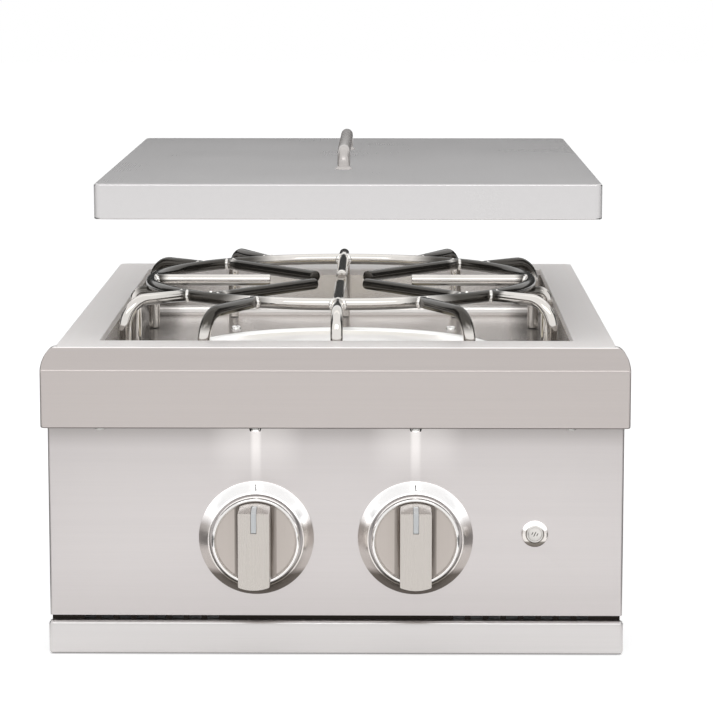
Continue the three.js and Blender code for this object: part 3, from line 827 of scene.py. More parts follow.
# painted dark reflections and painted underside shade on the grate rods
ROD_STEEL = RodSteel("rod_steel_painted_dark", written(228, 224, 219), 0.07)
ZINC = PlatedSteel("zinc_sheet", written(200, 201, 202), 0.4)
FITTING = PlatedSteel("zinc_fitting", written(206, 205, 202), 0.3)
IRON = CastMetal("cast_iron", written(62, 59, 56), 0.6)
BRASS = CastMetal("turned_brass", written(200, 168, 102), 0.32, metallic=1.0, grit=0.03)
CAP_METAL = CastMetal("pale_brass", written(214, 205, 186), 0.38, metallic=1.0, grit=0.03)
BLACK = Plastic("black_plastic", written(24, 24, 25), 0.55)
MARK = Plastic("dark_mark", written(52, 46, 42), 0.55)
CERAMIC = Plastic("glazed_ceramic", written(236, 232, 222), 0.3, coat=0.5)
CLEAR = ClearInsert("clear_insert", written(226, 229, 231), 0.1)
LENS = LitLens("lamp_lens", (1.0, 0.98, 0.94), 0.3)


# ---------------------------------------------------------------- forms


def rectangle(
    width: float,
    depth: float,
    corner: float,
    centre: Pair,
    height: float,
    steps: int = 8,
    side_steps: int = 1,
) -> list[Point]:
    """Give a level rectangle with round corners, from its rear right corner round.

    Args:
        width: Size along X.
        depth: Size along Y.
        corner: Radius of the corners.
        centre: Its middle.
        height: Its height.
        steps: Steps in each corner.
        side_steps: Steps along each side.

    Returns:
        The points in order.
    """
    ring: list[Point] = []
    across, along = width / 2 - corner, depth / 2 - corner
    for quarter, (right, rear) in enumerate(((1, 1), (-1, 1), (-1, -1), (1, -1))):
        middle = (centre[0] + right * across, centre[1] + rear * along)
        arc = arc_points(middle, corner, 90 * quarter, 90 * (quarter + 1), steps)
        ring.extend((x, y, height) for x, y in arc)
    if side_steps < 2:
        return ring
    filled: list[Point] = []
    for i, here in enumerate(ring):
        filled.append(here)
        if i % (steps + 1) == steps:
            there = Vector(ring[(i + 1) % len(ring)])
            for k in range(1, side_steps):
                filled.append(tuple(Vector(here).lerp(there, k / side_steps)))
    return filled


def around(ring: Iterable[Point], radius: float, centre: Pair, height: float) -> list[Point]:
    """Put each point of a ring on a circle, in the direction that it has now.

    Args:
        ring: The points.
        radius: Radius of the circle.
        centre: Its middle.
        height: Its height.

    Returns:
        The points on the circle.
    """
    turns = (math.atan2(y - centre[1], x - centre[0]) for x, y, _ in ring)
    middle = (*centre, height)
    return [Facing.UP.put(middle, radius, turn, 0.0) for turn in turns]


def arc_points(centre: Pair, radius: float, start: float, end: float, steps: int) -> list[Pair]:
    """Give points on an arc.

    Args:
        centre: Its middle.
        radius: Its radius.
        start: First angle in degrees.
        end: Last angle in degrees.
        steps: Number of steps.

    Returns:
        The points from start to end.
    """
    turns = (math.radians(start + (end - start) * i / steps) for i in range(steps + 1))
    return [(centre[0] + radius * math.cos(t), centre[1] + radius * math.sin(t)) for t in turns]


def bent(corners: Sequence[Point], bend: float, steps: int) -> list[Vector]:
    """Give a path along straight runs whose corners are bent round.

    Args:
        corners: Ends and corners of the path.
        bend: Radius of the bends.
        steps: Steps in each bend.

    Returns:
        The points of the path.
    """
    path = [Vector(corners[0])]
    for before, corner, after in zip(corners, corners[1:], corners[2:]):
        here = Vector(corner)
        back = (Vector(before) - here).normalized()
        ahead = (Vector(after) - here).normalized()
        half = back.angle(ahead) / 2
        middle = here + (back + ahead).normalized() * (bend / math.sin(half))
        start = (here + back * (bend / math.tan(half)) - middle).normalized()
        end = (here + ahead * (bend / math.tan(half)) - middle).normalized()
        for i in range(steps + 1):
            path.append(middle + start.slerp(end, i / steps) * bend)
    path.append(Vector(corners[-1]))
    return path


def in_frame(point: Point) -> Point:
    """Give a point in metres and in the frame's own place."""
    x, y, z = point
    return (x / METRE, (y - MIDDLE_Y) / METRE, z / METRE)


class Facing(Enum):
    """Where the axis of a turned form points."""

    UP = "up"
    VIEWER = "viewer"
    REAR = "rear"
    LEFT = "left"
    RIGHT = "right"

    def put(self, centre: Point, radius: float, turn: float, height: float) -> Point:
        """Place one point of a turned form.

        Args:
            centre: The foot of the axis.
            radius: Distance from the axis.
            turn: Angle round the axis in radians.
            height: Distance along the axis.

        Returns:
            The point.
        """
        across, along = radius * math.cos(turn), radius * math.sin(turn)
        if self is Facing.UP:
            return (centre[0] + across, centre[1] + along, centre[2] + height)
        if self in (Facing.LEFT, Facing.RIGHT):
            out = height if self is Facing.RIGHT else -height
            return (centre[0] + out, centre[1] + across, centre[2] + along)
        out = height if self is Facing.REAR else -height
        return (centre[0] + across, centre[1] + out, centre[2] + along)


class Form:
    """Corners and faces of one piece, in millimetres."""

    def __init__(self) -> None:
        """Start with nothing."""
        self.corners: list[Point] = []
        self.faces: list[tuple[int, ...]] = []

    def row(self, points: Iterable[Sequence[float]]) -> list[int]:
        """Add a row of corners.

        Args:
            points: The corners.

        Returns:
            Their numbers.
        """
        start = len(self.corners)
        self.corners.extend(tuple(point) for point in points)
        return list(range(start, len(self.corners)))

    def bridge(self, low: Sequence[int], high: Sequence[int], loop: bool) -> None:
        """Fill between two rows of equal length.

        Args:
            low: One row.
            high: The next.
            loop: Whether the rows are closed rings.
        """
        count = len(low)
        for i in range(count if loop else count - 1):
            j = (i + 1) % count
            self.faces.append((low[i], low[j], high[j], high[i]))

    def loft(
        self,
        rings: Iterable[Iterable[Sequence[float]]],
        loop: bool = True,
        caps: bool = True,
        closed: bool = False,
    ) -> "Form":
        """Fill along a stack of rings.

        Args:
            rings: Rings of equal length.
            loop: Whether each ring is closed.
            caps: Whether the first and last rings are filled.
            closed: Whether the last ring joins the first.

        Returns:
            The form itself.
        """
        rows = [self.row(ring) for ring in rings]
        for low, high in zip(rows, rows[1:]):
            self.bridge(low, high, loop)
        if closed:
            self.bridge(rows[-1], rows[0], loop)
        elif caps and loop:
            self.faces.append(tuple(reversed(rows[0])))
            self.faces.append(tuple(rows[-1]))
        return self

    def turned(
        self,
        profile: Profile,
        centre: Point,
        facing: Facing = Facing.UP,
        steps: int = 96,
        closed: bool = True,
    ) -> "Form":
        """Turn a profile round an axis.

        Args:
            profile: Radius and height of each point.
            centre: The foot of the axis.
            facing: Where the axis points.
            steps: Steps round.
            closed: Whether the profile is a ring of its own.

        Returns:
            The form itself.
        """
        turns = [2 * math.pi * i / steps for i in range(steps)]
        rings = [[facing.put(centre, r, t, h) for t in turns] for r, h in profile]
        return self.loft(rings, caps=False, closed=closed)

    def notched(
        self,
        full: Profile,
        slot: Profile,
        centre: Point,
        count: int,
        share: float,
    ) -> "Form":
        """Turn a closed profile that gives way to another one in even slots.

        Args:
            full: Radius and height between the slots.
            slot: Radius and height in the slots, as many points.
            centre: The foot of the axis.
            count: Number of slots.
            share: The part of the pitch that a slot takes.

        Returns:
            The form itself.
        """
        pitch = 2 * math.pi / count
        sharp = pitch * 0.01
        rings = []
        for i in range(count):
            start = i * pitch
            end = start + pitch * share
            for turn, profile in (
                (start, full), (start + sharp, slot), (end - sharp, slot), (end, full),
                ((end + start + pitch) / 2, full),
            ):
                rings.append([Facing.UP.put(centre, r, turn, h) for r, h in profile])
        return self.loft(rings, caps=False, closed=True)

    def rod(
        self,
        path: Sequence[Vector],
        radius: Union[float, Callable[[float], float]],
        sides: int = 20,
        edge: float = 0.0,
    ) -> "Form":
        """Draw a round rod along a path.

        Args:
            path: The points of its middle line.
            radius: Its radius, or a function of the share of the path.
            sides: Sides round.
            edge: Rounding of both ends.

        Returns:
            The form itself.
        """
        points = [Vector(point) for point in path]
        at_share = radius if callable(radius) else (lambda share: radius)
        last = len(points) - 1
        stations = [(point, at_share(i / last)) for i, point in enumerate(points)]
        if edge > 0:
            head = (points[1] - points[0]).normalized()
            tail = (points[-2] - points[-1]).normalized()
            stations = (
                self._rounded(points[0], head, stations[0][1], edge)
                + stations[1:-1]
                + self._rounded(points[-1], tail, stations[-1][1], edge)[::-1]
            )
        rings = []
        side: Vector | None = None
        turns = [2 * math.pi * k / sides for k in range(sides)]
        for i, (point, size) in enumerate(stations):
            before = stations[max(i - 1, 0)][0]
            after = stations[min(i + 1, len(stations) - 1)][0]
            along = (after - before).normalized()
            if side is None:
                side = along.orthogonal().normalized()
            side = (side - along * side.dot(along)).normalized()
            other = along.cross(side)
            rings.append([
                point + (side * math.cos(turn) + other * math.sin(turn)) * size for turn in turns
            ])
        return self.loft(rings)

    @staticmethod
    def _rounded(
        end: Vector, inward: Vector, size: float, edge: float
    ) -> list[tuple[Vector, float]]:
        """Give the stations that round one end of a rod.

        Args:
            end: The end of the rod's middle line.
            inward: The way back into the rod.
            size: The rod's radius there.
            edge: The rounding.

        Returns:
            Place and radius of each station, from the end inwards.
        """
        stations = []
        for turn in (90, 60, 30, 0):
            slope = math.radians(turn)
            place = end + inward * edge * (1 - math.sin(slope))
            stations.append((place, size - edge * (1 - math.cos(slope))))
        return stations

    def sheet_with_holes(
        self, outline: Sequence[Point], holes: Sequence[Sequence[Point]]
    ) -> "Form":
        """Fill a flat outline round its holes.

        Args:
            outline: The outer edge.
            holes: The edges of the holes.

        Returns:
            The form itself.
        """
        work = bmesh.new()
        edges = []
        for ring in (outline, *holes):
            corners = [work.verts.new(point) for point in ring]
            for i, corner in enumerate(corners):
                edges.append(work.edges.new((corner, corners[(i + 1) % len(corners)])))
        bmesh.ops.triangle_fill(work, use_beauty=True, use_dissolve=False, edges=edges)
        work.verts.index_update()
        start = len(self.corners)
        self.corners.extend(tuple(corner.co) for corner in work.verts)
        self.faces.extend(tuple(start + v.index for v in face.verts) for face in work.faces)
        work.free()
        return self

    def piece(
        self,
        name: str,
        finish: Union[Finish, bpy.types.Material],
        sharp: float = CRISP,
        outward: Point | None = None,
    ) -> bpy.types.Object:
        """Make the Blender object.

        Args:
            name: The piece's name.
            finish: Its finish, or a material.
            sharp: Angle in degrees from which an edge stays crisp.
            outward: For an open sheet, the way its farthest face looks.

        Returns:
            The object, in metres and in the frame's place.
        """
        work = bmesh.new()
        corners = [work.verts.new(in_frame(corner)) for corner in self.corners]
        for face in self.faces:
            if len(set(face)) > 2:
                work.faces.new([corners[i] for i in face])
        bmesh.ops.remove_doubles(work, verts=work.verts, dist=SAME_PLACE)
        bmesh.ops.dissolve_degenerate(work, edges=work.edges, dist=SAME_PLACE / 2)
        bmesh.ops.recalc_face_normals(work, faces=work.faces)
        if outward is not None:
            way = Vector(outward)
            farthest = max(work.faces, key=lambda face: face.calc_center_median().dot(way))
            if farthest.normal.dot(way) < 0:
                bmesh.ops.reverse_faces(work, faces=work.faces)
        mark_edges(work, sharp)
        mesh = bpy.data.meshes.new(name)
        work.to_mesh(mesh)
        work.free()
        made = bpy.data.objects.new(name, mesh)
        bpy.context.scene.collection.objects.link(made)
        mesh.materials.append(finish.material() if isinstance(finish, Finish) else finish)
        return made


def mark_edges(work: bmesh.types.BMesh, sharp: float = CRISP) -> None:
    """Shade a mesh smoothly and keep its crisp edges.

    Args:
        work: The mesh.
        sharp: Angle in degrees from which an edge stays crisp.
    """
    for face in work.faces:
        face.smooth = True
    for edge in work.edges:
        edge.smooth = edge.calc_face_angle(0.0) < math.radians(sharp)


def carve(piece: bpy.types.Object, tool: bpy.types.Object) -> bpy.types.Object:
    """Cut a tool's shape out of a piece and take the tool away.

    Args:
        piece: The piece.
        tool: The shape to cut out.

    Returns:
        The same piece.
    """
    made = piece.modifiers.new("cut", "BOOLEAN")
    made.operation = "DIFFERENCE"
    made.solver = "EXACT"
    made.object = tool
    shown = piece.evaluated_get(bpy.context.evaluated_depsgraph_get())
    mesh = bpy.data.meshes.new_from_object(shown)
    piece.modifiers.clear()
    piece.data = mesh
    bpy.data.objects.remove(tool)
    work = bmesh.new()
    work.from_mesh(mesh)
    mark_edges(work)
    work.to_mesh(mesh)
    work.free()
    return piece


def thicken(piece: bpy.types.Object, thickness: float) -> bpy.types.Object:
    """Give an open sheet its thickness, on the side away from its face.

    Args:
        piece: The sheet.
        thickness: In millimetres.

    Returns:
        The same piece.
    """
    made = piece.modifiers.new("thickness", "SOLIDIFY")
    made.thickness = thickness / METRE
    made.offset = -1.0
    made.use_even_offset = True
    return piece


def soften(piece: bpy.types.Object, width: float, segments: int = 3) -> bpy.types.Object:
    """Round a piece's crisp edges.

    Args:
        piece: The piece.
        width: Rounding in millimetres.
        segments: Steps in each edge.

    Returns:
        The same piece.
    """
    made = piece.modifiers.new("edges", "BEVEL")
    made.width = width / METRE
    made.segments = segments
    made.limit_method = "ANGLE"
    made.angle_limit = math.radians(CRISP)
    made.harden_normals = True
    made.use_clamp_overlap = True
    return piece


def flatten(piece: bpy.types.Object) -> bpy.types.Object:
    """Let broad faces keep their own shading beside narrow bends."""
    made = piece.modifiers.new("shading", "WEIGHTED_NORMAL")
    made.mode = "FACE_AREA"
    made.weight = 90
    made.keep_sharp = True
    return piece


@dataclass
class Assembly:
    """A sub-assembly of the burner, which rides on one body of the frame."""

    body: ClassVar[str] = "burner_body"

    def fit(
        self,
        piece: bpy.types.Object,
        slot: str,
        *nodes: str,
        body: str | None = None,
    ) -> bpy.types.Object:
        """Fix a piece to its body and let it stand for its nodes.

        Args:
            piece: The piece.
            slot: The record's slot for its finish; not used.
            *nodes: The nodes that it replaces.
            body: The body it rides on, where it isn't the assembly's own.

        Returns:
            The same piece.
        """
        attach(piece, body or self.body)
        if nodes:
            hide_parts(*nodes)
        shown = ", ".join(nodes) or "itself"
        LOG.info("%s: %s stands for %s", type(self).__name__, piece.name, shown)
        return piece

    def dress(self, finish: Finish, *nodes: str) -> None:
        """Give frame nodes that stay their finish.

        Args:
            finish: The finish.
            *nodes: The nodes.
        """
        for node in nodes:
            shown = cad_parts[node]
            for place in shown.material_slots:
                place.material = finish.material()
            if not shown.material_slots:
                shown.data.materials.append(finish.material())
            LOG.info("%s: %s is finished in %s", type(self).__name__, node, finish.name)

    def build(self) -> None:
        """Make the assembly's pieces."""
        raise NotImplementedError


# ---------------------------------------------------------------- lid


@dataclass
class Lid(Assembly):
    """The loose cover: a folded sheet box with a hemmed edge and a bar handle."""

    body: ClassVar[str] = "lid"

    width: float = 343.0
    depth: float = 438.0
    height: float = 24.0
    low: float = 295.3
    centre: Pair = (8.0, 258.0)
    corner: float = 5.0
    bend: float = 1.5
    sheet: float = 1.2
    hem: float = 6.0
    bar: float = 9.0
    bar_x: float = 3.5
    bar_half: float = 94.17
    bar_height: float = 331.64
    bar_bend: float = 11.0
    collar: Profile = ((-1, 0), (1.6, 0), (1.6, 0.5), (0.8, 1.1), (0, 2.0), (-1, 2.0))

    def _ring(self, inset: float, height: float) -> list[Point]:
        """Give the lid's outline drawn in by an inset, at a height."""
        corner = max(self.corner - inset, 0.4)
        return rectangle(
            self.width - 2 * inset, self.depth - 2 * inset, corner, self.centre, height
        )

    def _cover(self) -> Form:
        """Give the folded cover, from its top round the hem to its inside."""
        top = self.low + self.height
        section = arc_points((self.bend, top - self.bend), self.bend, 90, 180, 5)
        section += arc_points((self.sheet, self.low + self.sheet), self.sheet, 180, 360, 8)
        section.append((2 * self.sheet, self.low + self.hem))
        section.append((self.sheet, self.low + self.hem + self.sheet / 2))
        inside = (self.sheet + self.bend, top - self.sheet - self.bend)
        section += arc_points(inside, self.bend, 180, 90, 4)
        return Form().loft([self._ring(inset, height) for inset, height in section])

    def _handle(self) -> Form:
        """Give the round bar with a collar at each foot."""
        x, middle = self.bar_x, self.centre[1]
        foot, high = self.low + self.height, self.bar_height
        front, rear = middle - self.bar_half, middle + self.bar_half
        corners = ((x, front, foot), (x, front, high), (x, rear, high), (x, rear, foot))
        reach = self.bar / 2
        form = Form().rod(bent(corners, self.bar_bend, 12), reach, 28)
        collar = [(reach + out, rise) for out, rise in self.collar]
        for y in (front, rear):
            form.turned(collar, (x, y, foot), steps=40)
        return form

    def build(self) -> None:
        """Make the cover and its handle."""
        cover = flatten(self._cover().piece("lid_cover", LID_STEEL))
        self.fit(cover, "brushed_stainless", "lid_panel")
        bar = self._handle().piece("lid_bar", BAR_STEEL)
        self.fit(bar, "polished_stainless", "lid_handle")
        for part in (cover, bar):
            part.visible_glossy = False


# ---------------------------------------------------------------- top frame


@dataclass
class TopFrame(Assembly):
    """Flat flange round the opening, and the bent lip in front of it."""

    top: float = 212.0
    width: float = 377.0
    seam: float = 16.0
    back: float = 508.0
    clip: float = 4.0
    sheet: float = 1.2
    hem_width: float = 9.0
    hem_low: float = 209.4
    opening: Pair = (322.0, 422.0)
    opening_corner: float = 1.2
    corner_steps: int = 5
    centre: Pair = WELL
    turn_down: float = 5.0
    edge: float = 0.9
    lip_half: float = 197.0
    lip_low: float = 159.0
    lip_foot: float = 1.5
    lip_back: float = 23.7
    bevel_low: float = 198.0
    bevel: float = 14.0
    fold: float = 2.6
    lip_corner: float = 1.6

    def _outline(self, inset: float, height: float) -> list[Point]:
        """Give the flange's outer edge drawn in at the sides and the rear.

        Args:
            inset: How far it is drawn in.
            height: Its height.

        Returns:
            As many points as the opening's edge has.
        """
        half = self.width / 2 - inset
        back = self.back - inset
        clip = max(self.clip - inset * 0.4, 0.5)
        ends = (
            ((half, back - clip), (half - clip, back)),
            ((clip - half, back), (-half, back - clip)),
            ((-half, self.seam), (-half, self.seam)),
            ((half, self.seam), (half, self.seam)),
        )
        ring = []
        for (x0, y0), (x1, y1) in ends:
            for i in range(self.corner_steps + 1):
                share = i / self.corner_steps
                ring.append((x0 + (x1 - x0) * share, y0 + (y1 - y0) * share, height))
        return ring

    def _edge_ring(self, margin: float, height: float) -> list[Point]:
        """Give the opening's edge, moved outwards by a margin."""
        width, depth = (size + 2 * margin for size in self.opening)
        corner = self.opening_corner + margin
        return rectangle(width, depth, corner, self.centre, height, self.corner_steps)

    def _flange(self) -> Form:
        """Give the flange with its hem and its turned-down opening edge."""
        under, low, round_off = self.top - self.sheet, self.hem_low, 0.5
        outer = [
            self._outline(self.hem_width, low), self._outline(round_off, low),
            self._outline(0.0, low + round_off),
        ]
        rounding = arc_points((self.edge, self.top - self.edge), self.edge, 180, 90, 4)
        outer += [self._outline(inset, height) for inset, height in rounding]
        inner = [self._edge_ring(inset, height) for inset, height in reversed(rounding)]
        low = self.top - self.turn_down
        inner += [self._edge_ring(0.0, low), self._edge_ring(self.sheet, low)]
        inner += [self._edge_ring(self.sheet, under), self._outline(self.hem_width, under)]
        return Form().loft(outer + inner, closed=True)

    def _half_width(self, height: float) -> float:
        """Give the lip's half width at a height."""
        rise = min(max((height - self.bevel_low) / self.bevel, 0.0), 1.0)
        flange = self.width / 2 - self.edge
        return flange + (self.lip_half - flange) * math.sqrt(1 - rise ** 2)

    def _lip_row(self, front: float, half: float, height: float) -> list[Point]:
        """Give one level of the lip, from its left back round the front to its right back."""
        corner = min(self.lip_corner, self.lip_back - front)
        arc = arc_points((half - corner, front + corner), corner, -90, 0, 5)
        right = [(x, y, height) for x, y in arc] + [(half, self.lip_back, height)]
        return [(-x, y, z) for x, y, z in reversed(right)] + right

    def _lip(self) -> Form:
        """Give the bent lip as an open sheet, from its underside to the flange."""
        low, foot = self.lip_low, self.lip_foot
        rows = [(self.lip_back - 0.2, self.lip_half - 20, low)]
        for inset, height in arc_points((foot, low + foot), foot, 270, 180, 5):
            rows.append((inset, self.lip_half - inset, height))
        reach = self.fold * math.tan(math.radians(22.5))
        for run, height in arc_points((self.fold, self.bevel_low - reach), self.fold, 180, 135, 5):
            rows.append((run, self._half_width(height), height))
        for i in range(1, 12):
            rise = math.sin(math.radians(70) * i / 12) * self.bevel
            rows.append((rise, self._half_width(self.bevel_low + rise), self.bevel_low + rise))
        bend = (self.bevel + reach, self.top - self.fold)
        for run, height in arc_points(bend, self.fold, 135, 90, 6):
            if height > rows[-1][2]:
                rows.append((run, self._half_width(height), height))
        rows.append((self.seam, self.width / 2 - self.edge, self.top))
        return Form().loft([self._lip_row(*row) for row in rows], loop=False)

    def build(self) -> None:
        """Make the flange and the lip."""
        flange = flatten(self._flange().piece("top_flange", LIGHTENED_FLANGE_STEEL))
        self.fit(flange, "brushed_stainless", "top_frame")
        lip = self._lip().piece("front_lip", FRAME_STEEL, outward=(0.0, -1.0, 0.0))
        self.fit(flatten(thicken(lip, self.sheet)), "brushed_stainless", "top_frame")


# ---------------------------------------------------------------- grate


@dataclass
class Grate(Assembly):
    """Round rod grate: one ring, eight fingers inwards, twelve legs outwards and down."""

    body: ClassVar[str] = "grate"

    rod: float = 8.5
    sides: int = 22
    end_edge: float = 0.8
    ring: float = 142.0
    ring_steps: int = 160
    level: float = 228.0
    centre_y: float = WELL[1]
    foot_level: float = 174.3
    tip: float = 30.0
    side_tip: float = 53.0
    slant: float = 50.0
    bend: float = 19.0
    side_bend: float = 6.0
    foot: float = 198.0
    inner_foot: Pair = (91.0, 196.0)
    corner_foot: Pair = (151.0, 129.0)
    side_foot: float = 154.5
    inner_leg: float = 65.5
    corner_leg: float = 40.0
    bead: float = 1.7

    def _polar(
        self, radius: float, degrees: float, rise: float = 0.0, aside: float = 0.0
    ) -> Vector:
        """Give a point of the grate's plane.

        Args:
            radius: Distance from the middle.
            degrees: Direction, from the right and round the rear.
            rise: Height over the plane.
            aside: Distance off the radius, anticlockwise.

        Returns:
            The point.
        """
        turn = math.radians(degrees)
        out = Vector((math.cos(turn), math.sin(turn), 0.0))
        left = Vector((-math.sin(turn), math.cos(turn), 0.0))
        middle = Vector((0.0, self.centre_y, self.level + rise))
        return middle + out * radius + left * aside

    def _beads(self, form: Form, degrees: float, side: float) -> None:
        """Add the two weld beads of a rod that butts on the ring.

        Args:
            form: The form to add to.
            degrees: The rod's direction.
            side: -1 where the rod is inside the ring, 1 where it is outside.
        """
        radius = self.rod / 2
        for hand in (-1, 1):
            path = []
            for i in range(17):
                turn = math.radians(-58 + 116 * i / 16)
                out = self.ring + side * (radius * math.cos(turn) + 0.5)
                aside = hand * (radius * math.cos(turn) + 0.5)
                path.append(self._polar(out, degrees, radius * math.sin(turn) * 1.02, aside))
            form.rod(path, self._bead_size, 12)

    def _bead_size(self, share: float) -> float:
        """Give a bead's radius, which thins out to its ends and ripples.

        Args:
            share: The place along the bead, 0 to 1.

        Returns:
            The radius.
        """
        swell = math.sin(math.pi * min(max(share, 0.04), 0.96)) ** 0.5
        return self.bead * (0.35 + 0.65 * swell) * (1 + 0.1 * math.sin(share * 34))

    def _ring(self) -> Form:
        """Give the ring."""
        section = arc_points((self.ring, 0.0), self.rod / 2, 0, 360, self.sides)[:-1]
        turns = [360 * i / self.ring_steps for i in range(self.ring_steps)]
        rings = [[self._polar(out, turn, rise) for out, rise in section] for turn in turns]
        return Form().loft(rings, closed=True)

    def _finger(self, degrees: float, tip: float) -> Form:
        """Give one rod that reaches in over the burner.

        Args:
            degrees: Its direction.
            tip: How far its end stays from the middle.

        Returns:
            The rod.
        """
        path = [self._polar(tip, degrees), self._polar(tip + 3, degrees)]
        path += [self._polar(radius, degrees) for radius in (80, 110, 134)]
        path.append(self._polar(self.ring - 1.5, degrees))
        return Form().rod(path, self.rod / 2, self.sides, self.end_edge)

    def _leg(self, degrees: float, foot: Pair) -> Form:
        """Give one leg that leaves the ring outwards and turns down.

        Args:
            degrees: Where it leaves the ring.
            foot: Its foot, from the grate's middle.

        Returns:
            The leg.
        """
        x, y = foot[0], self.centre_y + foot[1]
        start = tuple(self._polar(self.ring + 1.5, degrees))
        path = bent((start, (x, y, self.level), (x, y, self.foot_level)), self.bend, 14)
        return Form().rod(path, self.rod / 2, self.sides, self.end_edge)

    def _side_leg(self, side: float) -> Form:
        """Give a leg that sits under the ring and turns down at once.

        Args:
            side: -1 for the left leg, 1 for the right one.

        Returns:
            The leg with its weld beads.
        """
        level = self.level - self.rod - 0.15
        corners = (
            (side * (self.ring - 3.5), self.centre_y, level),
            (side * self.side_foot, self.centre_y, level),
            (side * self.side_foot, self.centre_y, self.foot_level),
        )
        path = bent(corners, self.side_bend, 14)
        form = Form().rod(path, self.rod / 2, self.sides, self.end_edge)
        for hand in (-1, 1):
            y = self.centre_y + hand * 2.6
            path = []
            for i in range(11):
                turn = math.pi * i / 10
                x = side * (self.ring + 3.2 * math.cos(turn))
                path.append(Vector((x, y, level + 3.6 + math.sin(turn) * 0.4)))
            form.rod(path, self.bead * 0.9, 10)
        return form

    def build(self) -> None:
        """Make the ring, the fingers, the legs and their welds."""
        welds = Form()
        self.fit(self._ring().piece("grate_hoop", ROD_STEEL), "grate_rod", "grate_ring")
        tip, slant = self.tip, self.slant
        fingers = {
            "right": (0.0, self.side_tip), "rear_right": (slant, tip), "rear": (90.0, tip),
            "rear_left": (180 - slant, tip), "left": (180.0, self.side_tip),
            "front_left": (180 + slant, tip), "front": (270.0, tip), "front_right": (-slant, tip),
        }
        for place, (degrees, tip) in fingers.items():
            rod = self._finger(degrees, tip).piece(f"grate_rod_{place}", ROD_STEEL)
            self.fit(rod, "grate_rod", f"grate_finger_{place}")
            self._beads(welds, degrees, -1)
        for hand, side in HANDS:
            rod = self._side_leg(side).piece(f"grate_bent_side_leg_{hand}", ROD_STEEL)
            self.fit(rod, "grate_rod", f"grate_side_leg_{hand}")
        kinds = (
            ("leg", self.inner_leg, self.inner_foot),
            ("corner_leg", self.corner_leg, self.corner_foot),
        )
        legs = {}
        for end, rear in (("front", -1), ("rear", 1)):
            legs[f"leg_{end}"] = (rear * 90.0, (0.0, rear * self.foot))
            for hand, right in HANDS:
                for kind, angle, foot in kinds:
                    turn = rear * (angle if right > 0 else 180 - angle)
                    place = (right * foot[0], rear * foot[1])
                    legs[f"{kind}_{end}_{hand}"] = (turn, place)
        for place, (degrees, foot) in legs.items():
            rod = self._leg(degrees, foot).piece(f"grate_bent_{place}", ROD_STEEL)
            self.fit(rod, "grate_rod", f"grate_{place}")
            self._beads(welds, degrees, 1)
        self.fit(welds.piece("grate_welds", WELD_STEEL), "grate_rod")


# ---------------------------------------------------------------- pan and burner


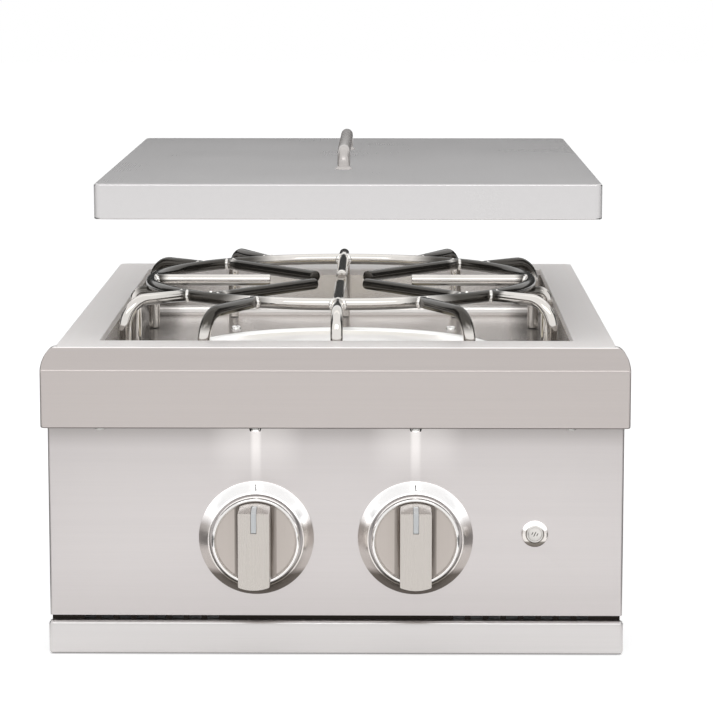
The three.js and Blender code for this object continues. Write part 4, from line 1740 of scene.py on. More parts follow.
@dataclass
class BurnerWell(Assembly):
    """The pan under the grate and the round bowl in its floor."""

    half: float = 162.5
    front: float = 45.5
    rear: float = 470.5
    floor: float = 174.0
    top: float = 210.5
    rim: float = 8.0
    rim_bend: float = 1.2
    sheet: float = 1.0
    corner: float = 6.0
    fold: Pair = (5.0, 8.5)
    hole: float = 116.0
    centre: Pair = WELL
    bowl_rim: float = 122.8
    bowl_shoulder: float = 166.0
    bowl_floor: float = 98.0
    bowl_low: float = 140.0
    bowl_hole: float = 76.0
    bowl_bends: Pair = (6, 10)
    bowl_fall: float = -52
    screw_places: Profile = ((-85.5, 383.7), (85.5, 383.7), (-85.5, 132.3), (85.5, 132.3))
    screw_head: Profile = ((0, 2.6), (1.6, 2.5), (3.0, 2.0), (4.0, 1.1), (4.3, 0), (0, 0))

    def _ring(self, side: float, end: float, height: float) -> list[Point]:
        """Give the pan's inner outline at a height.

        Args:
            side: How far its sides are moved outwards.
            end: How far its front and rear are moved outwards.
            height: The height.

        Returns:
            The points in order.
        """
        width = 2 * (self.half + side)
        depth = self.rear - self.front + 2 * end
        corner = max(self.corner + min(side, end), 1.0)
        return rectangle(width, depth, corner, self.centre, height, steps=6, side_steps=18)

    def _pan(self) -> Form:
        """Give the pan as an open sheet, from its rim down to the hole in its floor."""
        out = self.rim + self.sheet
        bend = self.rim_bend
        rings = [self._ring(out, out, self.top), self._ring(bend, bend, self.top)]
        for run, height in arc_points((bend, self.top - bend), bend, 90, 180, 4)[1:]:
            rings.append(self._ring(run, run, height))
        side, end = self.fold
        for across, drop in arc_points((0.0, 0.0), 1.0, 0, -90, 10):
            height = self.floor + end * (1 + drop)
            rings.append(self._ring(side * (across - 1), end * (across - 1), height))
        flat = self._ring(-side - 6, -end - 6, self.floor)
        rings.append(around(flat, self.hole, self.centre, self.floor))
        return Form().loft(rings, caps=False)

    def _bowl(self) -> Form:
        """Give the drawn bowl with its rolled rim."""
        inner = self.hole - 1.3
        seat = self.floor + 0.3
        sheet, (shoulder_bend, floor_bend), fall = self.sheet, self.bowl_bends, self.bowl_fall
        low, shoulder = self.bowl_low, self.bowl_shoulder + sheet
        foot = self.bowl_floor - 3
        middle = (self.bowl_rim + self.hole) / 2
        reach = (self.bowl_rim - self.hole) / 2
        profile = [(self.bowl_rim, seat)]
        for across, rise in arc_points((0.0, 0.0), 1.0, 8, 172, 14):
            profile.append((middle + reach * across, seat + 1.7 * rise))
        profile += arc_points((inner - 0.2, seat - 1.6), 1.6, 60, 0, 4)
        profile += arc_points((inner - shoulder_bend, shoulder), shoulder_bend, 0, fall, 8)
        profile += arc_points((foot, low + sheet + floor_bend), floor_bend, fall, -90, 5)
        profile += [(self.bowl_hole, low + sheet), (self.bowl_hole, low)]
        profile += arc_points((foot, low + floor_bend), floor_bend, -90, fall, 5)
        profile += arc_points((inner + sheet - shoulder_bend, shoulder), shoulder_bend, fall, 0, 6)
        profile += [(inner + sheet, seat)]
        return Form().turned(profile, (*self.centre, 0.0), steps=160)

    def _screws(self) -> Form:
        """Give the round heads of the screws that hold the pan."""
        form = Form()
        for x, y in self.screw_places:
            form.turned(self.screw_head, (x, y, self.floor), steps=28, closed=False)
        return form

    def build(self) -> None:
        """Make the pan, the bowl and the screws."""
        pan = self._pan().piece("recess_pan", PAN_STEEL, outward=(0.0, 0.0, 1.0))
        self.fit(flatten(thicken(pan, self.sheet)), "brushed_stainless", "burner_pan")
        bowl = self._bowl().piece("drawn_bowl", BOWL_STEEL, 50)
        self.fit(bowl, "polished_stainless", "burner_bowl")
        self.fit(self._screws().piece("pan_screws", BRIGHT_STEEL), "polished_stainless")


@dataclass
class BurnerHead(Assembly):
    """Base, two burner rings with their ports and caps, and the spark electrode."""

    centre: Point = (*WELL, 0.0)
    base_low: float = 141.3
    base_top: float = 146.3
    base_radius: float = 84.0
    outer_in: float = 52.0
    outer_out: float = 74.0
    inner_in: float = 6.0
    inner_out: float = 25.0
    port: Pair = (2.5, 4)
    port_share: float = 0.35
    ring_low: float = 146.6
    ring_top: float = 161.6
    cap_low: float = 161.9
    cap_top: float = 166.9
    overhang: float = 1.5
    brow: float = 3.4
    plate_edge: float = 1.5
    plate_hole: float = 10.5
    electrode: Pair = (92.5, WELL[1])
    sleeve: Profile = (
        (0, 0), (3.5, 0), (3.5, 3), (3.0, 3.6), (3.5, 4.2), (3.5, 6), (3.0, 6.6), (3.5, 7.2),
        (3.5, 12), (2.4, 14), (0, 14),
    )
    pin: Profile = ((0, 14), (1.2, 14), (1.2, 18.2), (0.6, 19), (0, 19))

    def _base(self) -> Form:
        """Give the base plate with a rolled edge."""
        low, top, edge = self.base_low, self.base_top, self.plate_edge
        profile = [(self.plate_hole, low)]
        profile += arc_points((self.base_radius - edge, low + edge), edge, -90, 0, 4)
        profile += arc_points((self.base_radius - edge, top - edge), edge, 0, 90, 4)
        return Form().turned(profile + [(self.plate_hole, top)], self.centre)

    def _slotted(self, inner: float, outer: float, count: int) -> Form:
        """Give a burner ring, slotted round its top edge.

        Args:
            inner: Its inner radius.
            outer: Its outer radius.
            count: Number of slots.

        Returns:
            The ring.
        """
        low, high = self.ring_low, self.ring_top
        shelf, back = high - self.port[0], outer - self.port[1]
        foot = [(inner, low), (outer - 1, low), (outer, low + 1), (outer, shelf)]
        full = foot + [(outer, high), (back, high), (inner, high)]
        slot = foot + [(back, shelf), (back, high), (inner, high)]
        return Form().notched(full, slot, self.centre, count, self.port_share)

    def _cap(self, inner: float, outer: float) -> Form:
        """Give a cap with a domed top.

        Args:
            inner: Radius of its hole, or zero.
            outer: Its outer radius.

        Returns:
            The cap.
        """
        low, high, brow = self.cap_low, self.cap_top, self.brow
        edge = [(outer, low), (outer, low + 1.6)]
        edge += arc_points((outer - brow, high - brow), brow, 20, 90, 5)
        if inner > 0:
            edge += arc_points((inner + brow, high - brow), brow, 90, 160, 5)
            return Form().turned(edge + [(inner, low + 1.6), (inner, low)], self.centre)
        middle = [(outer * 0.45, high), (outer * 0.4, high - 0.8), (0.0, high - 0.8)]
        return Form().turned([(0.0, low)] + edge + middle, self.centre, closed=False)

    def _on_electrode(self, profile: Profile, steps: int) -> Form:
        """Turn a profile round the electrode's axis."""
        return Form().turned(profile, (*self.electrode, self.base_low), steps=steps, closed=False)

    def build(self) -> None:
        """Make the burner's pieces."""
        over = self.overhang
        outer = self._slotted(self.outer_in, self.outer_out, 48)
        inner = self._slotted(self.inner_in, self.inner_out, 18)
        outer_cap = self._cap(self.outer_in - over, self.outer_out + over)
        inner_cap = self._cap(0.0, self.inner_out + over)
        sleeve, pin = self._on_electrode(self.sleeve, 28), self._on_electrode(self.pin, 20)
        for form, name, finish, slot, *nodes in (
            (self._base(), "burner_plate", IRON, "cast_iron", "burner_base"),
            (outer, "burner_ring_outer", IRON, "cast_iron", "outer_burner"),
            (inner, "burner_ring_inner", IRON, "cast_iron", "inner_burner"),
            (outer_cap, "burner_cap_outer", CAP_METAL, "brass", "outer_burner_cap"),
            (inner_cap, "burner_cap_inner", CAP_METAL, "brass", "inner_burner_cap"),
            (sleeve, "electrode_sleeve", CERAMIC, "ceramic", "electrode"),
            (pin, "electrode_pin", FITTING, "plated_steel"),
        ):
            self.fit(form.piece(name, finish), slot, *nodes)


# ---------------------------------------------------------------- front


@dataclass
class ControlPanel(Assembly):
    """Front panel with its folded sides, the vent strip and the rounded bottom rail."""

    half: float = 195.0
    front: float = 24.0
    low: float = 26.0
    top: float = 197.7
    fold: float = 1.6
    side: float = 18.0
    sheet: float = 1.2
    knob_x: float = 54.0
    knob_z: float = 80.0
    knob_hole: float = 13.0
    button: Pair = (135.0, 83.0)
    button_hole: float = 7.4
    rail_half: float = 195.5
    rail_front: float = 18.0
    rail_back: float = 25.2
    rail_top: float = 23.0
    rail_round: float = 3.0
    rail_corner: float = 2.6

    def _hole(self, x: float, z: float, radius: float) -> list[Point]:
        """Give the edge of a hole in the panel."""
        circle = arc_points((x, z), radius, 0, 360, 40)[:-1]
        return [(across, self.front, up) for across, up in circle]

    def _panel(self) -> Form:
        """Give the panel as an open sheet with its side folds."""
        edge, front, low, top = self.half - self.fold, self.front, self.low, self.top
        outline = [(-edge, front, low), (edge, front, low), (edge, front, top), (-edge, front, top)]
        holes = [self._hole(side * self.knob_x, self.knob_z, self.knob_hole) for _, side in HANDS]
        holes.append(self._hole(*self.button, self.button_hole))
        form = Form().sheet_with_holes(outline, holes)
        arc = arc_points((edge, front + self.fold), self.fold, -90, 0, 5)
        arc.append((self.half, front + self.side))
        for _, side in HANDS:
            form.loft([[(side * x, y, z) for x, y in arc] for z in (low, top)], loop=False)
        return form

    def _rail(self) -> Form:
        """Give the rail with its rounded front and ends."""
        middle = self.rail_front + self.rail_round
        section = arc_points((self.rail_round, middle), self.rail_round, 270, 180, 6)
        section += [(0.0, self.rail_back), (self.sheet, self.rail_back), (self.sheet, middle)]
        return Form().loft([self._rail_ring(inset, depth) for inset, depth in section])

    def _rail_ring(self, inset: float, depth: float) -> list[Point]:
        """Give one upright section outline of the rail."""
        width, height = 2 * (self.rail_half - inset), self.rail_top - 2 * inset
        corner = max(self.rail_corner - inset, 0.5)
        ring = rectangle(width, height, corner, (0.0, self.rail_top / 2), depth, steps=5)
        return [(x, y, z) for x, z, y in ring]

    def build(self) -> None:
        """Make the panel and the rail, and finish the vent strip."""
        panel = self._panel().piece("control_face", PANEL_STEEL, outward=(0.0, -1.0, 0.0))
        self.fit(flatten(thicken(panel, self.sheet)), "brushed_stainless", "front_panel")
        rail = flatten(self._rail().piece("toe_rail", RAIL_STEEL))
        self.fit(rail, "brushed_stainless", "bottom_rail")
        # painted shade on the vent strip
        self.dress(SHADED_STRIP_STEEL, "vent_strip")


@dataclass
class FrontPart(Assembly):
    """A part on the front panel, turned round an axis that points at the viewer."""

    x: float = -54.0
    back: float = 24.0
    height: float = 80.0

    def turn(self, profile: Profile, steps: int, closed: bool = True) -> Form:
        """Turn a profile round the part's axis."""
        place = (self.x, self.back, self.height)
        return Form().turned(profile, place, Facing.VIEWER, steps, closed)

    def put(self, across: float, up: float, rise: float) -> Point:
        """Place a point to the right of the axis, over it and in front of the part's back."""
        return (self.x + across, self.back - rise, self.height + up)


@dataclass
class Knob(FrontPart):
    """One control knob: turned skirt, satin face, grip bar with its clear pointer."""

    hand: str = "left"
    back: float = 19.7
    radius: float = 30.0
    face: float = 27.4
    skirt: float = 10.0
    skirt_edges: Pair = (1.5, 2.3)
    dish: float = 1.5
    reach: float = 38.7
    bore: float = 4.3
    bar_half: float = 10.5
    bar_radius: float = 27.1
    bar_corner: float = 1.0
    crease: float = 25.0
    slope: Pair = (2.2, 12.0)
    fillet: float = 4.6
    edge: float = 0.8
    slot_half: float = 2.0
    slot_low: float = 11.5
    slot_depth: float = 3.0
    slot_wrap: float = 16.0
    slot_out: Pair = (40.0, 44.7)
    play: float = 0.3

    def _skirt(self) -> Form:
        """Give the bright turned skirt with its raised ring."""
        top, face, (rear, brow) = self.skirt, self.face, self.skirt_edges
        profile = [(self.bore, 0.4), (self.radius - rear, 0.0)]
        profile += arc_points((self.radius - rear, rear), rear, -90, 0, 4)
        profile += arc_points((self.radius - brow, top - brow), brow, 0, 84, 8)
        profile += [
            (face + 0.25, top - 0.2), (face - 0.1, top - self.dish),
            (face - 3, top - self.dish - 0.2), (self.bore, top - self.dish - 0.2),
        ]
        return self.turn(profile, 128)

    def _disc(self) -> Form:
        """Give the satin face plate inside the ring."""
        face, top = self.face, self.skirt - self.dish
        profile = [
            (self.bore, top - 0.2), (face - 0.5, top - 0.2), (face - 0.15, top),
            (face - 0.5, top + 0.25), (face - 1.2, top + 0.35), (self.bore, top + 0.35),
        ]
        return self.turn(profile, 96)

    def _outline(self, outset: float) -> list[Pair]:
        """Give the grip bar's outline as (across, up) pairs.

        Args:
            outset: How far its long sides are moved outwards.

        Returns:
            The points, anticlockwise from the upper right.
        """
        middle = self.bar_half + outset - self.bar_corner
        reach = self.bar_radius - self.bar_corner
        tilt = math.degrees(math.asin(middle / reach))
        high = math.sqrt(reach ** 2 - middle ** 2)
        quadrant = arc_points((middle, high), self.bar_corner, 0, 90 - tilt, 4)
        quadrant += arc_points((0.0, 0.0), self.bar_radius, 90 - tilt, 90, 7)[1:]
        upper = quadrant + [(-x, up) for x, up in reversed(quadrant[:-1])]
        return upper + [(-x, -up) for x, up in upper]

    def _grip(self) -> bpy.types.Object:
        """Make the grip bar with its hollow foot, sloped end and the pointer's slot."""
        low = self.skirt - 1.25
        stations = [(self.fillet, low - 0.2)]
        stations += arc_points((self.fillet, low + self.fillet), self.fillet, 270, 180, 7)
        stations.append((0.0, self.reach))
        rings = [[self.put(x, up, rise) for x, up in self._outline(run)] for run, rise in stations]
        grip = Form().loft(rings).piece(f"knob_grip_{self.hand}", KNOB_FACE)
        self._shape(grip, in_frame(self.put(0.0, 0.0, low + self.fillet + 0.5))[1])
        return carve(grip, self._slot())

    def _shape(self, grip: bpy.types.Object, front_of: float) -> None:
        """Slope the bar's upper end, round its outer edges and give the cove faces the darker
        finish of painted shade.

        Args:
            grip: The bar.
            front_of: Only edges in front of this depth are rounded, in metres.
        """
        run, fall = self.slope
        work = bmesh.new()
        work.from_mesh(grip.data)
        cut = bmesh.ops.bisect_plane(
            work, geom=[*work.verts, *work.edges, *work.faces], dist=1e-7,
            plane_co=in_frame(self.put(0.0, self.crease, self.reach)),
            plane_no=Vector((0.0, -run, fall)).normalized(), clear_outer=True,
        )
        rim = [part for part in cut["geom_cut"] if isinstance(part, bmesh.types.BMEdge)]
        bmesh.ops.edgeloop_fill(work, edges=rim)
        bmesh.ops.recalc_face_normals(work, faces=work.faces)
        outer = [
            edge for edge in work.edges
            if edge.calc_face_angle(0.0) > math.radians(35)
            and max(corner.co.y for corner in edge.verts) < front_of
        ]
        bmesh.ops.bevel(
            work, geom=outer, offset=self.edge / METRE, segments=4, profile=0.5,
            affect="EDGES", clamp_overlap=True,
        )
        # painted shade: the cove faces beside the bar's foot take the darker cove finish
        for face in work.faces:
            if face.calc_center_median().y > front_of and 0.02 < abs(face.normal.x) < 0.99:
                face.material_index = 1
        mark_edges(work)
        work.to_mesh(grip.data)
        work.free()
        grip.data.materials.append(KNOB_COVE_SHADE.material())

    def _slot(self) -> bpy.types.Object:
        """Make the shape of the pointer's slot, which turns down over the bar's end."""
        floor, foot = self.reach - self.slot_depth, self.reach - self.slot_wrap
        back = self.bar_radius - self.slot_depth
        out, high = self.slot_out
        side = [
            (self.slot_low, floor), (back, floor), (back, foot), (out, foot), (out, high),
            (self.slot_low, high),
        ]
        return self._across(side, self.slot_half).piece(f"slot_tool_{self.hand}", KNOB_FACE)

    def _across(self, side: Profile, half: float) -> Form:
        """Draw a side view out to both sides of the knob's middle."""
        return Form().loft([[self.put(x, up, rise) for up, rise in side] for x in (-half, half)])

    def _pointer(self) -> Form:
        """Give the clear insert that fills the slot."""
        run, fall = self.slope
        half, play = self.slot_half - 0.25, self.play
        low, floor = self.slot_low + play, self.reach - self.slot_depth + play
        back, end = self.bar_radius - self.slot_depth + play, self.bar_radius - 0.15
        foot = self.reach - self.slot_wrap + play
        end_rise = self.reach - (end - self.crease) * fall / run
        side = [
            (low, floor), (back, floor), (back, foot), (end, foot), (end, end_rise),
            (self.crease, self.reach), (low, self.reach),
        ]
        return self._across(side, half)

    def build(self) -> None:
        """Make the knob's pieces and finish its stem and collar."""
        body = f"{self.hand}_knob"
        skirt = self._skirt().piece(f"knob_skirt_{self.hand}", BRIGHT_STEEL)
        self.fit(skirt, "satin_metal", f"knob_{self.hand}", body=body)
        plate = self._disc().piece(f"knob_plate_{self.hand}", KNOB_PLATE)
        self.fit(plate, "satin_metal", body=body)
        self.fit(flatten(self._grip()), "satin_metal", f"knob_{self.hand}", body=body)
        pointer = soften(self._pointer().piece(f"knob_insert_{self.hand}", CLEAR), 0.3)
        self.fit(pointer, "clear_insert", f"knob_pointer_{self.hand}", body=body)
        self.dress(BRASS, f"valve_stem_{self.hand}", f"gas_valve_{self.hand}")
        self.dress(FITTING, f"stem_collar_{self.hand}")


@dataclass
class Bezel(FrontPart):
    """Bright conical ring round a knob, with the fine mark of the off position."""

    hand: str = "left"
    outer: float = 39.0
    top: float = 32.3
    inner: float = 31.5
    rise: float = 8.0
    cone_foot: Pair = (38.7, 1.5)
    cone_head: Pair = (33.0, 7.45)
    mark: Pair = (33.6, 37.4)
    mark_half: float = 0.42
    mark_slant: float = 0.5
    mark_sink: Pair = (0.3, -0.02)

    def _ring(self) -> Form:
        """Give the ring."""
        profile = [
            (self.inner, 0.3), (self.outer, 0.3), (self.outer, 1.0), self.cone_foot,
            self.cone_head, (self.top + 0.3, self.rise - 0.1), (self.top - 0.1, self.rise),
            (self.inner + 0.2, self.rise - 0.1), (self.inner, self.rise - 0.5),
        ]
        return self.turn(profile, 144)

    def _mark(self) -> Form:
        """Give the slanted off mark, let into the cone."""
        (wide, low), (narrow, high) = self.cone_foot, self.cone_head
        start, end = self.mark
        rings = []
        for sink in self.mark_sink:
            ring = []
            for radius, side in ((start, -1), (start, 1), (end, 1), (end, -1)):
                share = (wide - radius) / (wide - narrow)
                shift = self.mark_slant * (share - 0.5)
                rise = low + (high - low) * share - sink
                ring.append(self.put(side * self.mark_half + shift, radius, rise))
            rings.append(ring)
        return Form().loft(rings)

    def build(self) -> None:
        """Make the ring and its mark."""
        ring = self._ring().piece(f"bezel_{self.hand}", CONE_STEEL, 25)
        self.fit(ring, "polished_stainless", f"knob_bezel_{self.hand}")
        self.fit(self._mark().piece(f"off_mark_{self.hand}", MARK), "black_plastic")


@dataclass
class SparkButton(FrontPart):
    """Push button in its bright ring, with the spark module and lead behind it."""

    x: float = 135.0
    height: float = 83.0
    cap: float = 5.75
    rise: float = 2.5
    length: float = 12.0
    ring: float = 9.0
    strokes: tuple[Point, ...] = ((-1.7, 0.4, 1.5), (0.0, 0.0, 2.6), (1.7, -0.4, 1.5))

    def _ring(self) -> Form:
        """Give the bright ring with its rounded brow."""
        inner = self.cap + 0.3
        profile = [(inner, -1.2), (7.1, -1.2), (7.1, 0.3), (self.ring, 0.3), (self.ring, 0.7)]
        profile += arc_points((self.ring - 1.3, 0.7), 1.3, 0, 90, 6)
        profile += [(inner + 0.4, 2.0), (inner, 1.7)]
        return self.turn(profile, 64)

    def _cap(self) -> Form:
        """Give the dished cap with a raised edge."""
        top = self.rise
        low = top - self.length
        profile = [(0.0, low), (self.cap, low), (self.cap, top - 0.6)]
        profile += arc_points((self.cap - 0.6, top - 0.6), 0.6, 20, 140, 6)
        profile += [(4.45, top - 0.75), (4.0, top - 0.95), (2.2, top - 1.15), (0.0, top - 1.2)]
        return self.turn(profile, 56, closed=False)

    def _strokes(self) -> Form:
        """Give the spark mark in the dish: short slanted strokes."""
        form = Form()
        floor = self.rise - 1.2
        for across, up, length in self.strokes:
            rings = []
            for rise in (floor - 0.2, floor + 0.12):
                ring = []
                for side, end in ((-1, -1), (1, -1), (1, 1), (-1, 1)):
                    x = across + side * 0.28 + end * length * 0.3
                    ring.append(self.put(x, up + end * length * 0.62, rise))
                rings.append(ring)
            form.loft(rings)
        return form

    def build(self) -> None:
        """Make the ring, the cap and its mark, and finish what is behind them."""
        strokes = self._strokes().piece("button_strokes", MARK)
        self.fit(strokes, "black_plastic", body="button")
        ring = self._ring().piece("button_ring", RING_STEEL)
        self.fit(ring, "polished_stainless", "button_bezel")
        cap = self._cap().piece("button_cap", BUTTON_FACE)
        self.fit(cap, "satin_metal", "igniter_button", body="button")
        self.dress(BLACK, "igniter_module", "ignition_lead")


@dataclass
class PanelLamp(Assembly):
    """One lamp under the lip: a plate, two dark clips and a small body with a lit lens."""

    hand: str = "left"
    x: float = -54.0
    half: float = 4.5
    front: float = 14.7
    back: float = 23.7
    low: float = 154.2
    top: float = 158.7
    plate: float = 0.9
    body_half: float = 2.4
    clip: Pair = (2.6, 3.6)
    clip_width: float = 0.9

    def _block(self, half: float, margin: float, corner: float, levels: Sequence[Pair]) -> Form:
        """Give a level block with rounded corners.

        Args:
            half: Its half width.
            margin: How far it stays from the lamp's front and rear.
            corner: Radius of its corners.
            levels: Inset and height of each of its rings.

        Returns:
            The block.
        """
        centre = (self.x, (self.front + self.back) / 2)
        depth = self.back - self.front - 2 * margin
        return Form().loft([
            rectangle(2 * (half - inset), depth - 2 * inset, corner, centre, height, steps=4)
            for inset, height in levels
        ])

    def _clips(self) -> Form:
        """Give the two slanted clips that hold the lamp's body."""
        form = Form()
        high = self.top - self.plate
        for side in (-1, 1):
            (foot, head), wide, low = self.clip, self.clip_width, self.low + 0.4
            section = [(foot, low), (foot + wide, low), (head + wide, high), (head, high)]
            form.loft([
                [(self.x + side * across, y, z) for across, z in section]
                for y in (self.front + 0.6, self.back - 1.2)
            ])
        return form

    def build(self) -> None:
        """Make the plate, the clips, the body and the lens."""
        high = self.top - self.plate
        plate = self._block(self.half, 0.0, 1.2, ((0.3, high), (0.0, high + 0.3), (0.0, self.top)))
        node = f"panel_lamp_{self.hand}"
        self.fit(plate.piece(f"lamp_plate_{self.hand}", FITTING), "black_plastic", node)
        clips = soften(self._clips().piece(f"lamp_clips_{self.hand}", BLACK), 0.15, 2)
        self.fit(clips, "black_plastic", node)
        levels = ((0.5, self.low + 0.6), (0.0, self.low + 1.1), (0.0, high))
        body = self._block(self.body_half, 1.6, 0.8, levels)
        self.fit(body.piece(f"lamp_body_{self.hand}", FITTING), "plated_steel")
        levels = ((0.5, self.low), (0.1, self.low + 0.4), (0.0, self.low + 0.8))
        lens = self._block(self.body_half - 0.7, 2.3, 0.6, levels)
        self.fit(lens.piece(f"lamp_lens_{self.hand}", LENS), "clear_insert")


@dataclass
class LipScrews(Assembly):
    """The two screws in the underside of the lip."""

    x: float = 158.0
    y: float = 10.66
    low: float = 156.5
    bolt: Profile = (
        (0, 0.5), (1.8, 0.5), (1.9, 0.0), (2.9, 0.1), (3.6, 0.7), (4.0, 1.4), (4.0, 2.3),
        (2, 2.3), (2, 10), (0, 10),
    )

    def build(self) -> None:
        """Make both screws."""
        for hand, side in HANDS:
            place = (side * self.x, self.y, self.low)
            form = Form().turned(self.bolt, place, steps=32, closed=False)
            screw = form.piece(f"lip_bolt_{hand}", FITTING)
            self.fit(screw, "plated_steel", f"lip_screw_{hand}")


@dataclass
class Cabinet(Assembly):
    """The hidden body: shell, back panel and gas train, with the fasteners outside."""

    half: float = 175.0
    rear: float = 487.7
    rivet_rows: tuple[float, ...] = (44.0, 150.0, 256.0, 340.0, 474.0)
    rivet_levels: Pair = (12.0, 186.0)
    rivet: Profile = ((0, 1.7), (1.4, 1.5), (2.5, 0.9), (3.1, 0.2), (3.2, 0), (0, 0))
    screw_places: Profile = (
        (-160.0, 14.0), (0.0, 14.0), (160.0, 14.0), (-160.0, 104.0), (160.0, 104.0),
        (-160.0, 196.0), (0.0, 196.0), (160.0, 196.0),
    )
    washer: Profile = ((0, 0), (5.4, 0), (5.4, 0.5), (4.9, 0.9), (0, 0.9))
    hexagon: Profile = (
        (0, 0.8), (3.8, 0.8), (3.8, 3.2), (3.3, 3.7), (1.8, 3.7), (1.4, 3.3), (0, 3.3)
    )

    def _rivets(self, side: float) -> Form:
        """Give the domed rivets along one side.

        Args:
            side: -1 for the left side, 1 for the right one.

        Returns:
            The rivets.
        """
        form = Form()
        facing = Facing.RIGHT if side > 0 else Facing.LEFT
        for y in self.rivet_rows:
            for z in self.rivet_levels:
                form.turned(self.rivet, (side * self.half, y, z), facing, 24, closed=False)
        return form

    def _screws(self) -> Form:
        """Give the hexagon screws with their washers on the back panel."""
        form = Form()
        for x, z in self.screw_places:
            place = (x, self.rear, z)
            form.turned(self.washer, place, Facing.REAR, 28, closed=False)
            form.turned(self.hexagon, place, Facing.REAR, 6, closed=False)
        return form

    def build(self) -> None:
        """Finish the nodes that stay and add the fasteners."""
        self.dress(ZINC, "body_shell", "back_panel")
        self.dress(FITTING, "gas_manifold", "outer_venturi", "inner_venturi")
        for hand, side in HANDS:
            self.fit(self._rivets(side).piece(f"shell_rivets_{hand}", FITTING), "plated_steel")
        self.fit(self._screws().piece("rear_screws", FITTING), "plated_steel")


# ---------------------------------------------------------------- studio


@dataclass(frozen=True)
class Softbox:
    """One soft lamp."""

    name: str
    place: Point
    aim: Point
    size: Pair
    glow: float
    mirrored: bool = False

    def build(self) -> None:
        """Hang the lamp."""
        light = bpy.data.lights.new(self.name, "AREA")
        light.shape = "RECTANGLE"
        light.size, light.size_y = self.size
        light.energy = self.glow * math.pi * self.size[0] * self.size[1]
        light.color = WHITE
        made = bpy.data.objects.new(self.name, light)
        made.visible_glossy = self.mirrored
        made.location = self.place
        way = Vector(self.aim) - Vector(self.place)
        made.rotation_euler = way.to_track_quat("-Z", "Y").to_euler()
        bpy.context.scene.collection.objects.link(made)


@dataclass(frozen=True)
class Card:
    """One plain card of the studio, which is seen only in metal."""

    name: str
    place: Point
    size: Pair
    tilt: Pair
    tone: float

    def build(self) -> None:
        """Set the card up."""
        form = Form()
        across, along = (side * METRE / 2 for side in self.size)
        corners = ((-across, -along), (across, -along), (across, along), (-across, along))
        form.faces.append(tuple(form.row((x, y + MIDDLE_Y, 0.0) for x, y in corners)))
        made, bench = fresh_material(self.name)
        glow = bench.node("ShaderNodeEmission", None, {"Color": WHITE, "Strength": self.tone})
        bench.node("ShaderNodeOutputMaterial", None, {"Surface": glow["Emission"]})
        card = form.piece(self.name, made)
        card.location = self.place
        card.rotation_euler = (math.radians(self.tilt[0]), 0.0, math.radians(self.tilt[1]))
        card.visible_camera = False
        card.visible_diffuse = False
        card.visible_transmission = False
        card.visible_volume_scatter = False
        card.visible_shadow = False


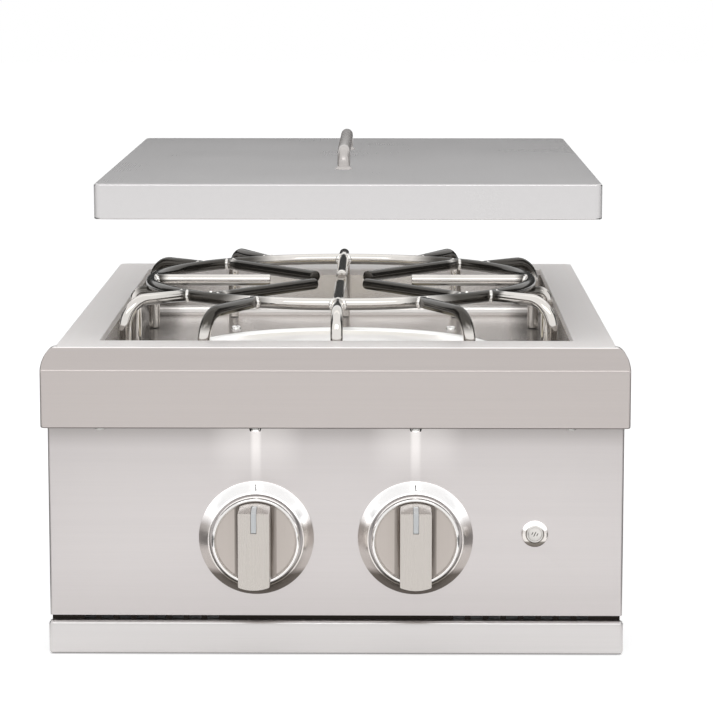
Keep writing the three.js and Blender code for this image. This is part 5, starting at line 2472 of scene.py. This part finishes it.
@dataclass
class Studio:
    """Floor, surroundings, lamps and camera."""

    camera_place: Point = (0.0335, -2.1436, 0.4874)
    camera_pitch: float = 8.44
    camera_turn: float = 0.58
    lens: float = 144.45
    sensor: float = 36.0
    clip: Pair = (0.05, 60.0)
    diffuse_level: float = 0.6
    floor_fill: float = 0.52
    floor_tone: Colour = (0.86, 0.86, 0.86)
    floor_radius: float = 9000.0
    floor_drop: float = 0.0003
    lamps: tuple[Softbox, ...] = (
        Softbox("lamp_top", (0.0, -0.5, 2.1), (0.0, 0.0, 0.2), (1.6, 1.2), 1.3),
        Softbox("lamp_left", (-1.9, -1.4, 1.5), (0.0, 0.0, 0.15), (0.9, 1.3), 0.9),
        Softbox("lamp_right", (1.9, -1.2, 1.3), (0.0, 0.0, 0.15), (0.9, 1.3), 0.7),
    )
    panel_lamp_x: float = 0.054
    panel_lamp_place: Pair = (-0.2262, 0.1536)
    panel_lamp_aim: Pair = (-0.2272, 0.0)
    panel_lamp_size: Pair = (0.012, 0.005)
    panel_lamp_glow: float = 1.6
    cards: tuple[Card, ...] = (
        Card("card_left", (-1.15, 0.4, 0.002), (1.7, 2.2), (0.0, 0.0), 0.16),
        Card("card_right", (1.15, 0.4, 0.002), (1.7, 2.2), (0.0, 0.0), 0.18),
        Card("card_rear", (0.0, 1.9, 0.425), (4.4, 0.55), (90.0, 0.0), 0.05),
        Card("card_rear_left", (-2.4, 1.2, 1.1), (1.8, 2.0), (90.0, 90.0), 0.05),
        Card("card_rear_right", (2.4, 1.2, 1.1), (1.8, 2.0), (90.0, 90.0), 0.05),
        Card("card_front_strip", (0.0, -1.5, 1.75), (2.2, 0.5), (45.0, 0.0), 2.6),
        Card("card_top_strip", (0.0, 0.7, 2.1), (2.4, 0.45), (-18.0, 0.0), 1.3),
    )

    def _panel_lights(self) -> list[Softbox]:
        """Give the light of the two small lamps under the lip."""
        return [
            Softbox(
                f"glow_{hand}",
                (side * self.panel_lamp_x, *self.panel_lamp_place),
                (side * self.panel_lamp_x, *self.panel_lamp_aim),
                self.panel_lamp_size, self.panel_lamp_glow, mirrored=True,
            )
            for hand, side in HANDS
        ]

    def _light_world(self) -> None:
        """Light the surroundings: white to the eye and in metal, softer on plain surfaces."""
        world = bpy.data.worlds.new("studio_air")
        world.use_nodes = True
        bench = Bench(world.node_tree)
        seen = self._seen(bench)
        strength = self.diffuse_level + (1 - self.diffuse_level) * seen
        air = bench.node("ShaderNodeBackground", None, {"Color": WHITE, "Strength": strength})
        bench.node("ShaderNodeOutputWorld", None, {"Surface": air["Background"]})
        bpy.context.scene.world = world

    @staticmethod
    def _seen(bench: Bench) -> Wire:
        """Give 1 for what is seen directly, in a mirror or through glass, and 0 otherwise."""
        path = bench.node("ShaderNodeLightPath")
        return path["Is Camera Ray"].most(path["Is Glossy Ray"]).most(path["Is Transmission Ray"])

    def _lay_floor(self) -> None:
        """Lay the pale floor, which keeps the shadow and shows white."""
        made, bench = fresh_material("pale_floor")
        plain = bench.node("ShaderNodeBsdfDiffuse", None, {"Color": self.floor_tone})
        inputs = {"Color": WHITE, "Strength": self._seen(bench) * self.floor_fill}
        fill = bench.node("ShaderNodeEmission", None, inputs)
        both = bench.node("ShaderNodeAddShader", None, {0: plain["BSDF"], 1: fill["Emission"]})
        bench.node("ShaderNodeOutputMaterial", None, {"Surface": both["Shader"]})
        form = Form()
        circle = arc_points((0.0, 0.0), self.floor_radius, 0, 360, 64)[:-1]
        form.faces.append(tuple(form.row((x, y, 0.0) for x, y in circle)))
        floor = form.piece("floor", made, outward=(0.0, 0.0, 1.0))
        floor.location.z = -self.floor_drop

    def _place_camera(self) -> None:
        """Put the camera where the photograph was taken."""
        data = bpy.data.cameras.new("camera")
        data.lens = self.lens
        data.sensor_width = self.sensor
        data.clip_start, data.clip_end = self.clip
        camera = bpy.data.objects.new("camera", data)
        camera.location = self.camera_place
        camera.rotation_euler = (
            math.radians(90 - self.camera_pitch), 0.0, math.radians(self.camera_turn)
        )
        bpy.context.scene.collection.objects.link(camera)
        bpy.context.scene.camera = camera

    def build(self) -> None:
        """Set up everything round the object."""
        self._place_camera()
        self._light_world()
        self._lay_floor()
        lamps = (*self.lamps, *self._panel_lights())
        for item in (*lamps, *self.cards):
            item.build()
        bpy.context.scene.view_settings.view_transform = "Standard"
        LOG.info("studio: camera, floor, %d lamps and %d cards stand", len(lamps), len(self.cards))


# ---------------------------------------------------------------- the burner


def main() -> None:
    """Build the studio and every sub-assembly in order."""
    logging.basicConfig(level=logging.INFO, format="%(message)s")
    Studio().build()
    assemblies: list[Assembly] = [
        Lid(), TopFrame(), Grate(), BurnerWell(), BurnerHead(), ControlPanel(),
        Knob(), Knob(hand="right", x=54.0), Bezel(), Bezel(hand="right", x=54.0),
        SparkButton(), PanelLamp(), PanelLamp(hand="right", x=54.0), LipScrews(), Cabinet(),
    ]
    for assembly in assemblies:
        assembly.build()


if __name__ == "__main__":
    main()
